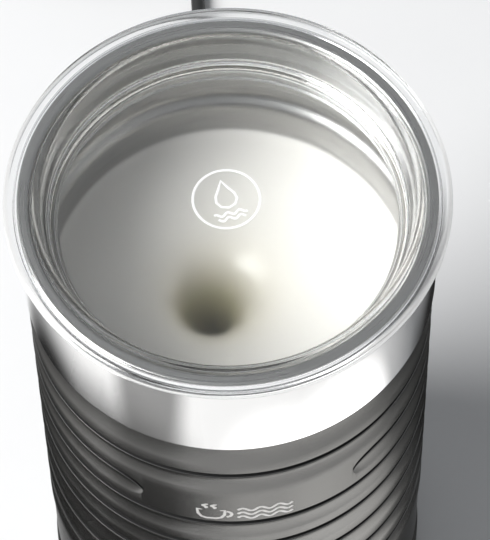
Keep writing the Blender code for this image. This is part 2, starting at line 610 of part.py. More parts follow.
def make_drive(axis, rotor, whisk):
    under = FLOOR_Z - STEEL
    heater_top = under - CLEAR
    ring("heating_ring", HEATER_IN_R, HEATER_OUT_R, heater_top - HEATER_T, heater_top, ALUMINIUM,
         LARGE, parent=axis)
    bracket_top = heater_top - HEATER_T - BRACKET_RIM
    bracket_z = bracket_top - BRACKET_T
    can_top = bracket_z - CLEAR
    can_z = can_top - MOTOR_H
    nose_top = can_top + MOTOR_NOSE_H
    bush_z = can_top - BUSH_H
    can = turned("motor_can", [
        (0, can_z), (MOTOR_R, can_z), (MOTOR_R, can_top - 1.5 * MM), (MOTOR_R - 1.5 * MM, can_top),
        (MOTOR_NOSE_R, can_top), (MOTOR_NOSE_R, nose_top), (BUSH_R + CLEAR, nose_top),
        (BUSH_R + CLEAR, bush_z), (SHAFT_R + RUN, bush_z),
        (SHAFT_R + RUN, can_z + 3 * MM), (0, can_z + 3 * MM),
    ][::-1], ZINC, MIDDLE, parent=axis)
    screw_hole = MOTOR_SCREW_R + CLEAR
    drill(can, screw_hole, can_top - 5 * MM, can_top + MM, MOTOR_SCREW_RING_R, (0, 180))
    ring("motor_bush", SHAFT_R + RUN / 2, BUSH_R, bush_z + CLEAR, nose_top, BRASS, SMALL, parent=axis)
    bracket = turned("motor_bracket", [
        (BRACKET_R, bracket_top + BRACKET_RIM - MM), (BRACKET_R, bracket_z),
        (MOTOR_NOSE_R + CLEAR, bracket_z), (MOTOR_NOSE_R + CLEAR, bracket_top),
        (BRACKET_R - BRACKET_T, bracket_top), (BRACKET_R - BRACKET_T, bracket_top + BRACKET_RIM - MM),
    ], ZINC, parent=axis)
    drill(bracket, screw_hole, bracket_z - MM, bracket_top + MM, MOTOR_SCREW_RING_R, (0, 180))
    for i, angle in enumerate((0, 180), 1):
        screw(f"motor_screw_{i}", MOTOR_SCREW_R, 2 * MOTOR_SCREW_R, 5.5 * MM, ZINC, parent=axis,
              turn=(pi, 0, 0), at=around(MOTOR_SCREW_RING_R, angle, bracket_top + CLEAR))
    part_z = bracket_top + CLEAR
    disc("thermostat", THERMOSTAT_R, part_z, heater_top - HEATER_T - CLEAR, BLACK, SMALL, parent=axis,
         at=around((HEATER_IN_R + HEATER_OUT_R) / 2, 0))
    end, shoulder = FUSE_L / 2, FUSE_L / 2 - 1.5 * MM
    fuse = [(0, end), (FUSE_R * 0.6, end), (FUSE_R, shoulder), (FUSE_R, -shoulder), (FUSE_R * 0.6, -end),
            (0, -end)]
    turned("thermal_fuse", fuse, WHITE_NYLON, SMALL, parent=axis, turn=(pi / 2, 0, 0),
           at=around((HEATER_IN_R + HEATER_OUT_R) / 2, 180, part_z + FUSE_R))

    board_z = can_z + BOARD_LIFT
    ring("control_board", MOTOR_R + RUN, BOARD_R, board_z, board_z + BOARD_T, BOARD, MIDDLE, parent=axis)
    relay_x = -(MOTOR_R + RELAY_GAP + RELAY[0] / 2)
    block("board_relay", RELAY, (relay_x, 0, board_z + BOARD_T + CLEAR + RELAY[2] / 2), BLACK,
          bevel=0.5 * MM, parent=axis)

    carrier_top = under - RUN - MAGNET_T - CLEAR - 0.2 * MM
    carrier_z = carrier_top - CARRIER_T
    shaft_hole = carrier_z + CARRIER_T / 2
    turned("magnet_carrier", [
        (0, carrier_top), (CARRIER_R, carrier_top), (CARRIER_R, carrier_z), (SHAFT_R + CLEAR, carrier_z),
        (SHAFT_R + CLEAR, shaft_hole), (0, shaft_hole),
    ], WHITE_NYLON, MIDDLE, parent=rotor)
    disc("motor_shaft", SHAFT_R, can_z + 3.5 * MM, shaft_hole - CLEAR, ZINC, SMALL, parent=rotor)
    for i, angle in enumerate((0, 180), 1):
        disc(f"drive_magnet_{i}", MAGNET_R, carrier_top + CLEAR, carrier_top + CLEAR + MAGNET_T, MAGNET,
             SMALL, parent=rotor, at=around(MAGNET_RING_R, angle))

    disc_z = FLOOR_Z + WHISK_LIFT
    disc_top = disc_z + WHISK_DISC_T
    cap_z = FLOOR_Z + POST_H + RUN
    hub_top = cap_z + WHISK_CAP_T
    bore, hub = POST_R + RUN, POST_R + WHISK_HUB_WALL
    groove_in, groove_out, groove_top = hub + 2 * MM, WHISK_DISC_R - GROOVE_WALL, disc_top - 0.9 * MM
    turned("whisk_hub", [
        (0, hub_top), (hub - MM, hub_top), (hub, hub_top - MM), (hub, disc_top), (WHISK_DISC_R, disc_top),
        (WHISK_DISC_R, disc_z), (groove_out, disc_z), (groove_out, groove_top), (groove_in, groove_top),
        (groove_in, disc_z), (bore, disc_z), (bore, cap_z), (0, cap_z),
    ], BLACK, MIDDLE, parent=whisk)
    ring("whisk_magnet", groove_in + CLEAR, groove_out - CLEAR, disc_z + 0.2 * MM, groove_top - CLEAR,
         MAGNET, MIDDLE, parent=whisk)
    coil_z = disc_z + COIL_WIRE_R
    coil = [(COIL_RING_R + COIL_WIRE_R * cos(a), coil_z + COIL_WIRE_R * sin(a))
            for a in (radians(60 * i) for i in range(6))]
    turned("whisk_spring", coil, SATIN, MIDDLE, parent=whisk)


def make_button(axis, button):
    face = BODY_R + BUTTON_PROUD
    bezel_in, bezel_out = BUTTON_R + RUN, BUTTON_R + RUN + BEZEL_T
    light_in = bezel_out + CLEAR
    deep = face - BEZEL_DEEP
    forward = {"parent": axis, "at": (0, 0, BUTTON_Z), "turn": (pi / 2, 0, 0)}
    ring("button_bezel", bezel_in, bezel_out, deep, face, POLISHED, MIDDLE, **forward)
    ring("light_pipe", light_in, light_in + LIGHT_T, deep, face - LIGHT_SINK, LIGHT, MIDDLE, **forward)
    turned("start_button", [
        (0, 0), (BUTTON_R - MM, 0), (BUTTON_R, -MM), (BUTTON_R, -BUTTON_T), (STEM_R, -BUTTON_T),
        (STEM_R, -STEM_L), (0, -STEM_L),
    ], BLACK, MIDDLE, parent=button, turn=(pi / 2, 0, 0))
    switch_y = face - STEM_L - BUTTON_TRAVEL - CLEAR
    block("start_switch", (SWITCH, SWITCH_T, SWITCH), (0, SWITCH_T / 2 - switch_y, BUTTON_Z), BLACK,
          bevel=0.4 * MM, parent=axis)
    board_y = switch_y - SWITCH_T - CLEAR
    board_w, board_h = SWITCH_BOARD
    block("switch_board", (board_w, BOARD_T, board_h), (0, BOARD_T / 2 - board_y, BUTTON_Z), BOARD,
          parent=axis)


def make_lid(axis):
    under = LIP_Z + CLEAR
    top = under + LID_WALL
    plug_r = NECK_R - LID_PLUG_GAP
    overhang_in = COLLAR_R + 0.5 * MM
    outer = COLLAR_R + LID_REACH
    bead = under + LID_WALL / 2
    disc_top = top - LID_RECESS - LID_WALL
    disc_z = disc_top - LID_WALL
    seal_top = disc_z - 0.6 * MM
    skirt_in = plug_r - 1.9 * LID_WALL
    turned("lid", [
        (0, disc_top), (skirt_in - 0.9 * MM, disc_top), (skirt_in + 0.4 * MM, disc_top + MM),
        (plug_r - LID_WALL + 1.2 * MM, top - MM), (plug_r + 0.6 * MM, top), (overhang_in, top + 0.4 * MM),
        (outer - 1.2 * MM, bead + 1.2 * MM), (outer, bead), (outer - 0.5 * MM, under - 1.2 * MM),
        (outer - 1.4 * MM, under - LID_DROP), (overhang_in, under - LID_DROP), (overhang_in, under),
        (NECK_R - 0.6 * MM, under), (plug_r, disc_top), (plug_r, seal_top),
        (plug_r - SEAL_BITE, seal_top), (plug_r - SEAL_BITE, seal_top - SEAL_H),
        (plug_r, seal_top - SEAL_H), (plug_r, disc_z - LID_SKIRT), (skirt_in, disc_z - LID_SKIRT),
        (skirt_in, disc_z), (0, disc_z),
    ], CLEAR_PLASTIC, parent=axis)
    seal_low, seal_high = seal_top - SEAL_H + CLEAR, seal_top - CLEAR
    seal_in = plug_r - SEAL_BITE + CLEAR
    turned("lid_seal", [
        (seal_in, seal_high), (plug_r + 0.4 * MM, seal_high), (NECK_R - 0.4 * MM, (seal_low + seal_high) / 2),
        (plug_r + 0.4 * MM, seal_low), (seal_in, seal_low),
    ], CLEAR_SILICONE, parent=axis)


def main():
    for old in list(bpy.data.objects):
        bpy.data.objects.remove(old)
    make_base()
    make_cord()
    make_connector(axis_at("connector_axis", (0, 0, 0)))
    jug = axis_at("jug_axis", (0, 0, 0))
    make_shells(jug)
    make_drive(jug, axis_at("motor_axis", (0, 0, 0)), axis_at("whisk_axis", (0, 0, 0)))
    make_button(jug, axis_at("button_axis", (0, -BODY_R - BUTTON_PROUD, BUTTON_Z)))
    make_lid(axis_at("lid_axis", (0, 0, 0)))


main()
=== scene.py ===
from math import atan2, ceil, cos, degrees, hypot, pi, radians, sin, sqrt

import bmesh
import bpy
from mathutils import Matrix, Vector


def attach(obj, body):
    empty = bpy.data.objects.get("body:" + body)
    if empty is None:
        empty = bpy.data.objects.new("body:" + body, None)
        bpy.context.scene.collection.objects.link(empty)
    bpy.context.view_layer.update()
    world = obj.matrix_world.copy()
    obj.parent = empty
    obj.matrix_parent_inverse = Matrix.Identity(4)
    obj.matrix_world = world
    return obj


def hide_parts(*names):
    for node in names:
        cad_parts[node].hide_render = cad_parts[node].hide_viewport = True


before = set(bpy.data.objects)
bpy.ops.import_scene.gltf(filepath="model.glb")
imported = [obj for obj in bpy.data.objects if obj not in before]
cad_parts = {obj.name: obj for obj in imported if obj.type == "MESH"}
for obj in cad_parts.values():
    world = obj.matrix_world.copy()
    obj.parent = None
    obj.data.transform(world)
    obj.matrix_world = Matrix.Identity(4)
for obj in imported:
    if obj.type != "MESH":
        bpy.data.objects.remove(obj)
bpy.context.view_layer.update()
mm = 0.001
view = bpy.context.scene.view_settings
view.view_transform = "Standard"
print("frame loaded,", len(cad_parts), "nodes")

# camera
cameraFit = {"place": (-0.0306, -0.4382, 0.9304), "target": (0.0021, -0.0199, 0.1859),
             "roll": radians(-1.30), "lens": 248.1}


def makeCamera(fit):
    lens = bpy.data.cameras.new("camera")
    lens.lens = fit["lens"]
    lens.sensor_width = 36
    lens.clip_end = 20
    camera = bpy.data.objects.new("camera", lens)
    bpy.context.collection.objects.link(camera)
    ahead = (Vector(fit["target"]) - Vector(fit["place"])).normalized()
    turn = ahead.to_track_quat("-Z", "Y").to_matrix() @ Matrix.Rotation(fit["roll"], 3, "Z")
    camera.matrix_world = Matrix.Translation(fit["place"]) @ turn.to_4x4()
    bpy.context.scene.camera = camera


makeCamera(cameraFit)


# shared shader groups
def newGroup(name, inputs, outputs):
    tree = bpy.data.node_groups.new(name, "ShaderNodeTree")
    for label, kind, value in inputs:
        socket = tree.interface.new_socket(name=label, in_out="INPUT", socket_type=kind)
        socket.default_value = value
    for label, kind in outputs:
        tree.interface.new_socket(name=label, in_out="OUTPUT", socket_type=kind)
    return tree, tree.nodes.new("NodeGroupInput"), tree.nodes.new("NodeGroupOutput")


def mathNode(tree, operation, *values):
    node = tree.nodes.new("ShaderNodeMath")
    node.operation = operation
    for socket, value in zip(node.inputs, values):
        if isinstance(value, (int, float)):
            socket.default_value = value
        else:
            tree.links.new(value, socket)
    return node.outputs[0]


def noiseNode(tree, vector, scale, detail):
    node = tree.nodes.new("ShaderNodeTexNoise")
    node.inputs["Detail"].default_value = detail
    tree.links.new(vector, node.inputs["Vector"])
    if isinstance(scale, (int, float)):
        node.inputs["Scale"].default_value = scale
    else:
        tree.links.new(scale, node.inputs["Scale"])
    return node.outputs["Fac"]


# middle + (value - 0.5) * amount
def around(tree, value, amount, middle):
    return mathNode(tree, "ADD", mathNode(tree, "MULTIPLY", mathNode(tree, "SUBTRACT", value, 0.5), amount),
                    middle)


# A colour made lighter or darker by a value round 0.5
def shadedColour(tree, colour, value, amount):
    node = tree.nodes.new("ShaderNodeVectorMath")
    node.operation = "SCALE"
    tree.links.new(colour, node.inputs[0])
    tree.links.new(around(tree, value, amount, 1.0), node.inputs["Scale"])
    return node.outputs[0]


# Fine moulded or sprayed grain with slow patches of colour and gloss
def mouldedGroup():
    tree, start, end = newGroup("moulded grain", [
        ("Vector", "NodeSocketVector", (0, 0, 0)), ("Colour", "NodeSocketColor", (0.5, 0.5, 0.5, 1)),
        ("Patches", "NodeSocketFloat", 0.1), ("Roughness", "NodeSocketFloat", 0.4),
        ("Gloss Spread", "NodeSocketFloat", 0.1), ("Grain Scale", "NodeSocketFloat", 2500.0),
    ], [("Colour", "NodeSocketColor"), ("Roughness", "NodeSocketFloat"), ("Height", "NodeSocketFloat")])
    place = start.outputs["Vector"]
    slow = noiseNode(tree, place, 55.0, 4.0)
    fine = noiseNode(tree, place, start.outputs["Grain Scale"], 2.0)
    tree.links.new(shadedColour(tree, start.outputs["Colour"], slow, start.outputs["Patches"]),
                   end.inputs["Colour"])
    tree.links.new(around(tree, mathNode(tree, "ADD", mathNode(tree, "MULTIPLY", slow, 0.6),
                                         mathNode(tree, "MULTIPLY", fine, 0.4)),
                          start.outputs["Gloss Spread"], start.outputs["Roughness"]), end.inputs["Roughness"])
    tree.links.new(fine, end.inputs["Height"])
    return tree


# Fine scratches that run round the vertical axis, as a lathe or a polishing wheel leaves them
def turnedGroup():
    tree, start, end = newGroup("turned scratches", [
        ("Vector", "NodeSocketVector", (0, 0, 0)), ("Colour", "NodeSocketColor", (0.5, 0.5, 0.5, 1)),
        ("Patches", "NodeSocketFloat", 0.1), ("Roughness", "NodeSocketFloat", 0.3),
        ("Gloss Spread", "NodeSocketFloat", 0.1), ("Scratch Scale", "NodeSocketFloat", 3000.0),
    ], [("Colour", "NodeSocketColor"), ("Roughness", "NodeSocketFloat"), ("Height", "NodeSocketFloat")])
    parts = tree.nodes.new("ShaderNodeSeparateXYZ")
    tree.links.new(start.outputs["Vector"], parts.inputs[0])
    x, y, z = parts.outputs
    radius = mathNode(tree, "SQRT", mathNode(tree, "ADD", mathNode(tree, "MULTIPLY", x, x),
                                             mathNode(tree, "MULTIPLY", y, y)))
    ringed = tree.nodes.new("ShaderNodeCombineXYZ")
    tree.links.new(radius, ringed.inputs[0])
    tree.links.new(z, ringed.inputs[1])
    tree.links.new(mathNode(tree, "MULTIPLY", mathNode(tree, "ADD", x, y), 0.012), ringed.inputs[2])
    scratch = noiseNode(tree, ringed.outputs[0], start.outputs["Scratch Scale"], 3.0)
    slow = noiseNode(tree, start.outputs["Vector"], 40.0, 3.0)
    tree.links.new(shadedColour(tree, start.outputs["Colour"], slow, start.outputs["Patches"]),
                   end.inputs["Colour"])
    tree.links.new(around(tree, scratch, start.outputs["Gloss Spread"], start.outputs["Roughness"]),
                   end.inputs["Roughness"])
    tree.links.new(scratch, end.inputs["Height"])
    return tree


moulded, turnedMarks = mouldedGroup(), turnedGroup()


# A material whose colour, roughness and relief come from a shared group; other values are set directly
def finish(name, group, colour, roughness, patches=0.1, spread=0.08, scale=2500.0, relief=0.02 * mm,
           strength=0.5, **fixed):
    made = bpy.data.materials.new(name)
    made.use_nodes = True
    tree = made.node_tree
    shader = tree.nodes["Principled BSDF"]
    for label, value in fixed.items():
        shader.inputs[label.replace("_", " ")].default_value = value
    place = tree.nodes.new("ShaderNodeTexCoord")
    look = tree.nodes.new("ShaderNodeGroup")
    look.node_tree = group
    tree.links.new(place.outputs["Object"], look.inputs["Vector"])
    settings = (*colour, 1.0), patches, roughness, spread, scale
    for socket, value in zip(list(look.inputs)[1:], settings):
        socket.default_value = value
    tree.links.new(look.outputs["Colour"], shader.inputs["Base Color"])
    tree.links.new(look.outputs["Roughness"], shader.inputs["Roughness"])
    bump = tree.nodes.new("ShaderNodeBump")
    bump.inputs["Strength"].default_value = strength
    bump.inputs["Distance"].default_value = relief
    tree.links.new(look.outputs["Height"], bump.inputs["Height"])
    tree.links.new(bump.outputs["Normal"], shader.inputs["Normal"])
    return made


# Clear plastic that a lamp shines through: only shadow rays see the tinted film
def letLampsThrough(material, tint):
    tree = material.node_tree
    shader, output = tree.nodes["Principled BSDF"], tree.nodes["Material Output"]
    rays = tree.nodes.new("ShaderNodeLightPath")
    film = tree.nodes.new("ShaderNodeBsdfTransparent")
    film.inputs["Color"].default_value = (*tint, 1)
    either = tree.nodes.new("ShaderNodeMixShader")
    tree.links.new(rays.outputs["Is Shadow Ray"], either.inputs[0])
    tree.links.new(shader.outputs[0], either.inputs[1])
    tree.links.new(film.outputs[0], either.inputs[2])
    tree.links.new(either.outputs[0], output.inputs["Surface"])


graphite = finish("graphite lacquer", moulded, (0.21, 0.207, 0.2), 0.25, patches=0.06, spread=0.08,
                  scale=3500.0, relief=0.004 * mm, Metallic=0.97, Specular_Tint=(0.3, 0.3, 0.3, 1))
# Near-black painted shade for the sleeve's deep slots and the channels' end walls
slotPaintedShade = finish("slot painted shade", moulded, (0.012, 0.012, 0.012), 0.6, scale=3000.0)
blackPlastic = finish("black plastic", moulded, (0.022, 0.022, 0.023), 0.42, patches=0.3, scale=2200.0,
                      relief=0.03 * mm)
mirrorSteel = finish("polished steel", turnedMarks, (0.93, 0.92, 0.905), 0.07, patches=0.03, spread=0.05,
                     scale=5000.0, relief=0.0004 * mm, strength=0.3, Metallic=1.0)
satinSteel = finish("satin steel", turnedMarks, (0.37, 0.365, 0.355), 0.3, patches=0.05, spread=0.22,
                    scale=2600.0, relief=0.004 * mm, Metallic=1.0)
wireSteel = finish("spring wire", moulded, (0.7, 0.7, 0.69), 0.22, scale=4000.0, relief=0.004 * mm,
                   Metallic=1.0)
clearPlastic = finish("clear plastic", moulded, (0.96, 0.965, 0.965), 0.11, patches=0.01, spread=0.012,
                      scale=300.0, relief=0.0006 * mm, strength=0.25, IOR=1.5, Transmission_Weight=1.0)
frostedMark = finish("frosted mark", moulded, (0.95, 0.95, 0.95), 0.35, patches=0.02, scale=5000.0, IOR=1.45,
                     Transmission_Weight=0.45)
clearSilicone = finish("clear silicone", moulded, (0.88, 0.88, 0.87), 0.28, patches=0.03, scale=2500.0,
                       relief=0.01 * mm, IOR=1.41, Transmission_Weight=0.75)
greySilicone = finish("grey silicone", moulded, (0.3, 0.3, 0.3), 0.6, scale=2500.0)
softRubber = finish("soft rubber", moulded, (0.028, 0.028, 0.028), 0.72, patches=0.4, scale=3000.0,
                    relief=0.03 * mm)
cordSkin = finish("cord sheath", moulded, (0.022, 0.022, 0.022), 0.45, patches=0.3, scale=1800.0,
                  relief=0.02 * mm)
wovenTape = finish("woven tape", moulded, (0.018, 0.018, 0.019), 0.85, patches=0.6, scale=1500.0,
                   relief=0.12 * mm, strength=0.9)
brass = finish("brass", turnedMarks, (0.78, 0.58, 0.27), 0.28, patches=0.15, spread=0.15, Metallic=1.0)
nickel = finish("nickel plating", turnedMarks, (0.72, 0.7, 0.66), 0.2, patches=0.05, Metallic=1.0)
zinc = finish("zinc steel", moulded, (0.6, 0.6, 0.6), 0.34, patches=0.2, spread=0.15, scale=900.0,
              relief=0.01 * mm, Metallic=1.0)
aluminium = finish("cast aluminium", moulded, (0.72, 0.72, 0.73), 0.42, patches=0.12, scale=1300.0,
                   relief=0.03 * mm, Metallic=1.0)
magnetPlate = finish("magnet plating", moulded, (0.3, 0.3, 0.31), 0.34, patches=0.2, Metallic=1.0)
nylon = finish("natural nylon", moulded, (0.78, 0.77, 0.72), 0.5, patches=0.08, Subsurface_Weight=0.1)
boardGreen = finish("solder mask", moulded, (0.03, 0.16, 0.07), 0.35, patches=0.35, scale=600.0,
                    relief=0.02 * mm)
diffuser = finish("light diffuser", moulded, (0.85, 0.87, 0.9), 0.4, patches=0.03, Transmission_Weight=0.35)
paleInk = finish("pale print", moulded, (0.62, 0.605, 0.585), 0.32, patches=0.05, relief=0.004 * mm,
                 Metallic=0.35)
letLampsThrough(clearPlastic, (0.94, 0.95, 0.95))
letLampsThrough(frostedMark, (0.85, 0.85, 0.85))
letLampsThrough(clearSilicone, (0.7, 0.7, 0.7))
print("materials made")

carried = {
    "rubber_foot_1": softRubber, "rubber_foot_2": softRubber, "rubber_foot_3": softRubber,
    "base_screw_1": zinc, "base_screw_2": zinc, "base_screw_3": zinc, "cover_screw_1": zinc,
    "cover_screw_2": zinc, "cover_screw_3": zinc, "motor_can": zinc, "motor_bracket": zinc,
    "motor_screw_1": zinc, "motor_screw_2": zinc, "motor_shaft": zinc, "motor_bush": brass,
    "socket_contact": brass, "connector_pin": brass, "connector_ring": brass, "terminal_block": nylon,
    "thermal_fuse": nylon, "magnet_carrier": nylon, "heating_ring": aluminium, "drive_magnet_1": magnetPlate,
    "drive_magnet_2": magnetPlate, "whisk_magnet": magnetPlate, "control_board": boardGreen,
    "switch_board": boardGreen, "vessel_gasket": greySilicone, "base_lead_1": cordSkin,
    "base_lead_2": cordSkin, "thermostat": blackPlastic, "board_relay": blackPlastic,
    "start_switch": blackPlastic,
}


# mesh helpers
# Makes a bmesh a finished piece that rides on a body and stands for CAD nodes
def addPiece(name, bm, materials, body, nodes=(), sharp=32.0):
    bmesh.ops.remove_doubles(bm, verts=bm.verts, dist=0.002 * mm)
    bmesh.ops.recalc_face_normals(bm, faces=bm.faces)
    mesh = bpy.data.meshes.new(name)
    bm.to_mesh(mesh)
    bm.free()
    return showMesh(name, mesh, materials, body, nodes, sharp)


def showMesh(name, mesh, materials, body, nodes=(), sharp=32.0):
    mesh.shade_smooth()
    mesh.set_sharp_from_angle(angle=radians(sharp))
    piece = bpy.data.objects.new(name, mesh)
    bpy.context.collection.objects.link(piece)
    for material in materials if isinstance(materials, (list, tuple)) else [materials]:
        mesh.materials.append(material)
    if body is not None:
        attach(piece, body)
    if nodes:
        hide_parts(*nodes)
    return piece


# Adds a point just outside each rounded corner, to keep its shading off the flat beside it
def heldCorners(outline):
    held = []
    closed = outline[0][0] > 0 or outline[-1][0] > 0
    count = len(outline)
    for i, point in enumerate(outline):
        r, z, rounding = (*point, 0.0)[:3]
        if not rounding:
            held.append((r, z, 0.0))
            continue
        sides = []
        for j in (i - 1, i + 1):
            if not closed and not 0 <= j < count:
                sides.append(None)
                continue
            other = outline[j % count]
            reach = hypot(other[0] - r, other[1] - z)
            step = rounding * 1.25 + 0.04
            room = reach - (rounding * 1.3 if (*other, 0.0)[2] == 0 else (*other, 0.0)[2] * 1.3)
            sides.append((r + (other[0] - r) * step / reach, z + (other[1] - z) * step / reach, 0.0)
                         if reach > 0 and step < room else None)
        held += [p for p in (sides[0], (r, z, rounding), sides[1]) if p]
    return held


# A bmesh spun round Z from (radius, height, rounding) points in millimetres
def latheMesh(outline, steps=128, segments=4):
    bm = bmesh.new()
    outline = heldCorners(outline)
    points = [bm.verts.new((r * mm, 0, z * mm)) for r, z, _ in outline]
    onAxis = outline[0][0] == 0 and outline[-1][0] == 0
    for a, b in zip(points, points[1:] if onAxis else points[1:] + points[:1]):
        bm.edges.new((a, b))
    for rounding in sorted({p[2] for p in outline if p[2]}):
        corners = [v for v, p in zip(points, outline) if p[2] == rounding]
        bmesh.ops.bevel(bm, geom=corners, offset=rounding * mm, affect="VERTICES", segments=segments,
                        profile=0.5, material=-1)
    bmesh.ops.spin(bm, geom=bm.verts[:] + bm.edges[:], axis=(0, 0, 1), cent=(0, 0, 0), angle=2 * pi,
                   steps=steps, use_merge=True)
    return bm


def lathe(name, outline, materials, body, slot, nodes=(), steps=128, segments=4, turn=None, at=(0, 0, 0),
          sharp=32.0):
    bm = latheMesh(outline, steps, segments)
    if turn is not None:
        bmesh.ops.transform(bm, matrix=turn, verts=bm.verts)
    bmesh.ops.translate(bm, vec=Vector(at) * mm, verts=bm.verts)
    return addPiece(name, bm, materials, body, nodes, sharp)


# A mesh of round strokes along flat lines of (x, y) points in millimetres; True closes a line
def strokeMesh(strokes, radius):
    curve = bpy.data.curves.new("stroke", "CURVE")
    curve.dimensions = "3D"
    curve.bevel_depth = radius * mm
    curve.bevel_resolution = 2
    curve.use_fill_caps = True
    for points, closed in strokes:
        spline = curve.splines.new("POLY")
        spline.points.add(len(points) - 1)
        for target, (x, y) in zip(spline.points, points):
            target.co = (x * mm, y * mm, 0, 1)
        spline.use_cyclic_u = closed
    holder = bpy.data.objects.new("stroke", curve)
    bpy.context.collection.objects.link(holder)
    mesh = bpy.data.meshes.new_from_object(holder.evaluated_get(bpy.context.evaluated_depsgraph_get()))
    bpy.data.objects.remove(holder)
    bpy.data.curves.remove(curve)
    return mesh


# The mesh of a bmesh with another bmesh's closed shape taken out of it
def cutMesh(bm, cutter):
    holders = []
    for label, shape in (("body", bm), ("cutter", cutter)):
        bmesh.ops.remove_doubles(shape, verts=shape.verts, dist=0.002 * mm)
        bmesh.ops.recalc_face_normals(shape, faces=shape.faces)
        mesh = bpy.data.meshes.new(label)
        shape.to_mesh(mesh)
        shape.free()
        holder = bpy.data.objects.new(label, mesh)
        bpy.context.collection.objects.link(holder)
        holders.append(holder)
    cut = holders[0].modifiers.new("cut", "BOOLEAN")
    cut.operation, cut.solver, cut.object = "DIFFERENCE", "EXACT", holders[1]
    bpy.context.view_layer.update()
    mesh = bpy.data.meshes.new_from_object(holders[0].evaluated_get(bpy.context.evaluated_depsgraph_get()))
    for holder in holders:
        bpy.data.objects.remove(holder)
    return mesh


def arcPoints(cx, cy, radius, first, last, count):
    return [(cx + radius * cos(radians(first + (last - first) * i / count)),
             cy + radius * sin(radians(first + (last - first) * i / count))) for i in range(count + 1)]


# mains lead
lead = {
    "radius": 2.0, "exit": (0, 49.0, 10.6), "floor": 2.1,
    "coilMiddle": (-17.8, 213.0, 6.2), "turnsRadius": 23.0, "bundleRadius": 3.4, "strands": 5, "turns": 4.25,
    "firstAngle": -36.0, "plugEnd": (-47.3, 236.0, 6.9),
}


# A point on the coil. The strands keep a diameter apart because the bundle twists as it winds
def coilPoint(turns):
    cx, cy, cz = lead["coilMiddle"]
    lift = radians(lead["firstAngle"] - turns * 360 / lead["strands"])
    reach = lead["turnsRadius"] + lead["bundleRadius"] * cos(lift)
    angle = 2 * pi * turns
    return Vector((cx + reach * cos(angle), cy + reach * sin(angle), cz + lead["bundleRadius"] * sin(lift)))


# Points about one spacing apart on a Catmull-Rom curve through the knots, between the outer two
def smoothLine(knots, spacing):
    line = []
    for a, b, c, d in zip(knots, knots[1:], knots[2:], knots[3:]):
        count = max(1, ceil((c - b).length / spacing))
        for i in range(count):
            t = i / count
            line.append(0.5 * (2 * b + (c - a) * t + (2 * a - 5 * b + 4 * c - d) * t**2
                               + (3 * b - a - 3 * c + d) * t**3))
    return [*line, knots[-2]]


def leadLine():
    exitZ, floorZ = lead["exit"][2], lead["floor"]
    out = [Vector(p) for p in (
        (0, 40.5, exitZ), lead["exit"], (0, 66, exitZ), (0, 80, exitZ), (0.2, 92, exitZ - 1.6),
        (0.6, 106, floorZ + 1.2), (1.2, 118, floorZ), (2.4, 135, floorZ), (3.8, 152, floorZ),
        (4.8, 168, floorZ), (5.4, 182, floorZ + 0.1), (6.6, 198, floorZ + 0.9))]
    start, end = coilPoint(0), coilPoint(lead["turns"])
    going = smoothLine([*out, start, coilPoint(0.08)], 9.0)[:-1]
    coil = [coilPoint(lead["turns"] * i / 160) for i in range(161)]
    plug = Vector(lead["plugEnd"])
    tail = smoothLine([coil[-2], end, end + Vector((-8, -0.35, -0.25)), plug + Vector((9, 0.2, -0.1)), plug,
                       plug + Vector((-9, 0, 0))], 4.0)[1:]
    return [p * mm for p in going + coil + tail]


def makeLead():
    line = leadLine()
    curve = bpy.data.curves.new("mains_lead", "CURVE")
    curve.dimensions = "3D"
    curve.bevel_depth = lead["radius"] * mm
    curve.bevel_resolution = 5
    curve.use_fill_caps = True
    spline = curve.splines.new("POLY")
    spline.points.add(len(line) - 1)
    for point, p in zip(spline.points, line):
        point.co = (*p, 1)
    spline.use_smooth = True
    piece = bpy.data.objects.new("mains_lead", curve)
    bpy.context.collection.objects.link(piece)
    curve.materials.append(cordSkin)
    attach(piece, "base")
    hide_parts("mains_cord", "cord_coil", "cord_tail")
    return piece, sum((b - a).length for a, b in zip(line, line[1:]))


relief = {"flange": 5.3, "tip": 3.1, "bore": 2.1, "out": 49.3, "length": 28.0, "grooves": 7, "groove": 1.3,
          "groovePitch": 3.1}


# The gland that holds the lead: a flange on the wall and a tapered tail with bending grooves
def makeRelief():
    out, tip = relief["out"], relief["out"] + relief["length"]
    outline = [(relief["bore"], 44.5), (relief["bore"], tip, 0.3), (relief["tip"], tip, 0.4)]

    def outer(y):
        share = (y - out - 2.5) / (relief["length"] - 2.5)
        return relief["flange"] + (relief["tip"] - relief["flange"]) * share - 0.2 * sin(pi * share)

    for i in reversed(range(relief["grooves"])):
        y = out + 4.6 + i * relief["groovePitch"]
        core = outer(y) - 0.9 - 0.5 * (1 - i / relief["grooves"])
        grooveEnd = y + relief["groove"]
        outline += [(outer(grooveEnd), grooveEnd, 0.2), (core, grooveEnd, 0.25), (core, y, 0.25),
                    (outer(y), y, 0.2)]
    outline += [(relief["flange"], out + 2.5, 0.5), (relief["flange"], out, 0.3), (3.9, out), (3.9, 45.9),
                (5.3, 45.9), (5.3, 44.5)]
    return lathe("lead_gland", outline, softRubber, "base", "cord_black", ["strain_relief"], steps=40,
                 turn=Matrix.Rotation(-pi / 2, 4, "X"), at=(0, 0, lead["exit"][2]))


plug = {"back": -47.0, "length": 34.0, "y": 236.0, "z": 6.9, "width": 26.0, "height": 13.6, "neck": 9.5,
        "pinRadius": 2.0, "pinLength": 19.0, "pinPitch": 18.6, "sleeve": 10.0}


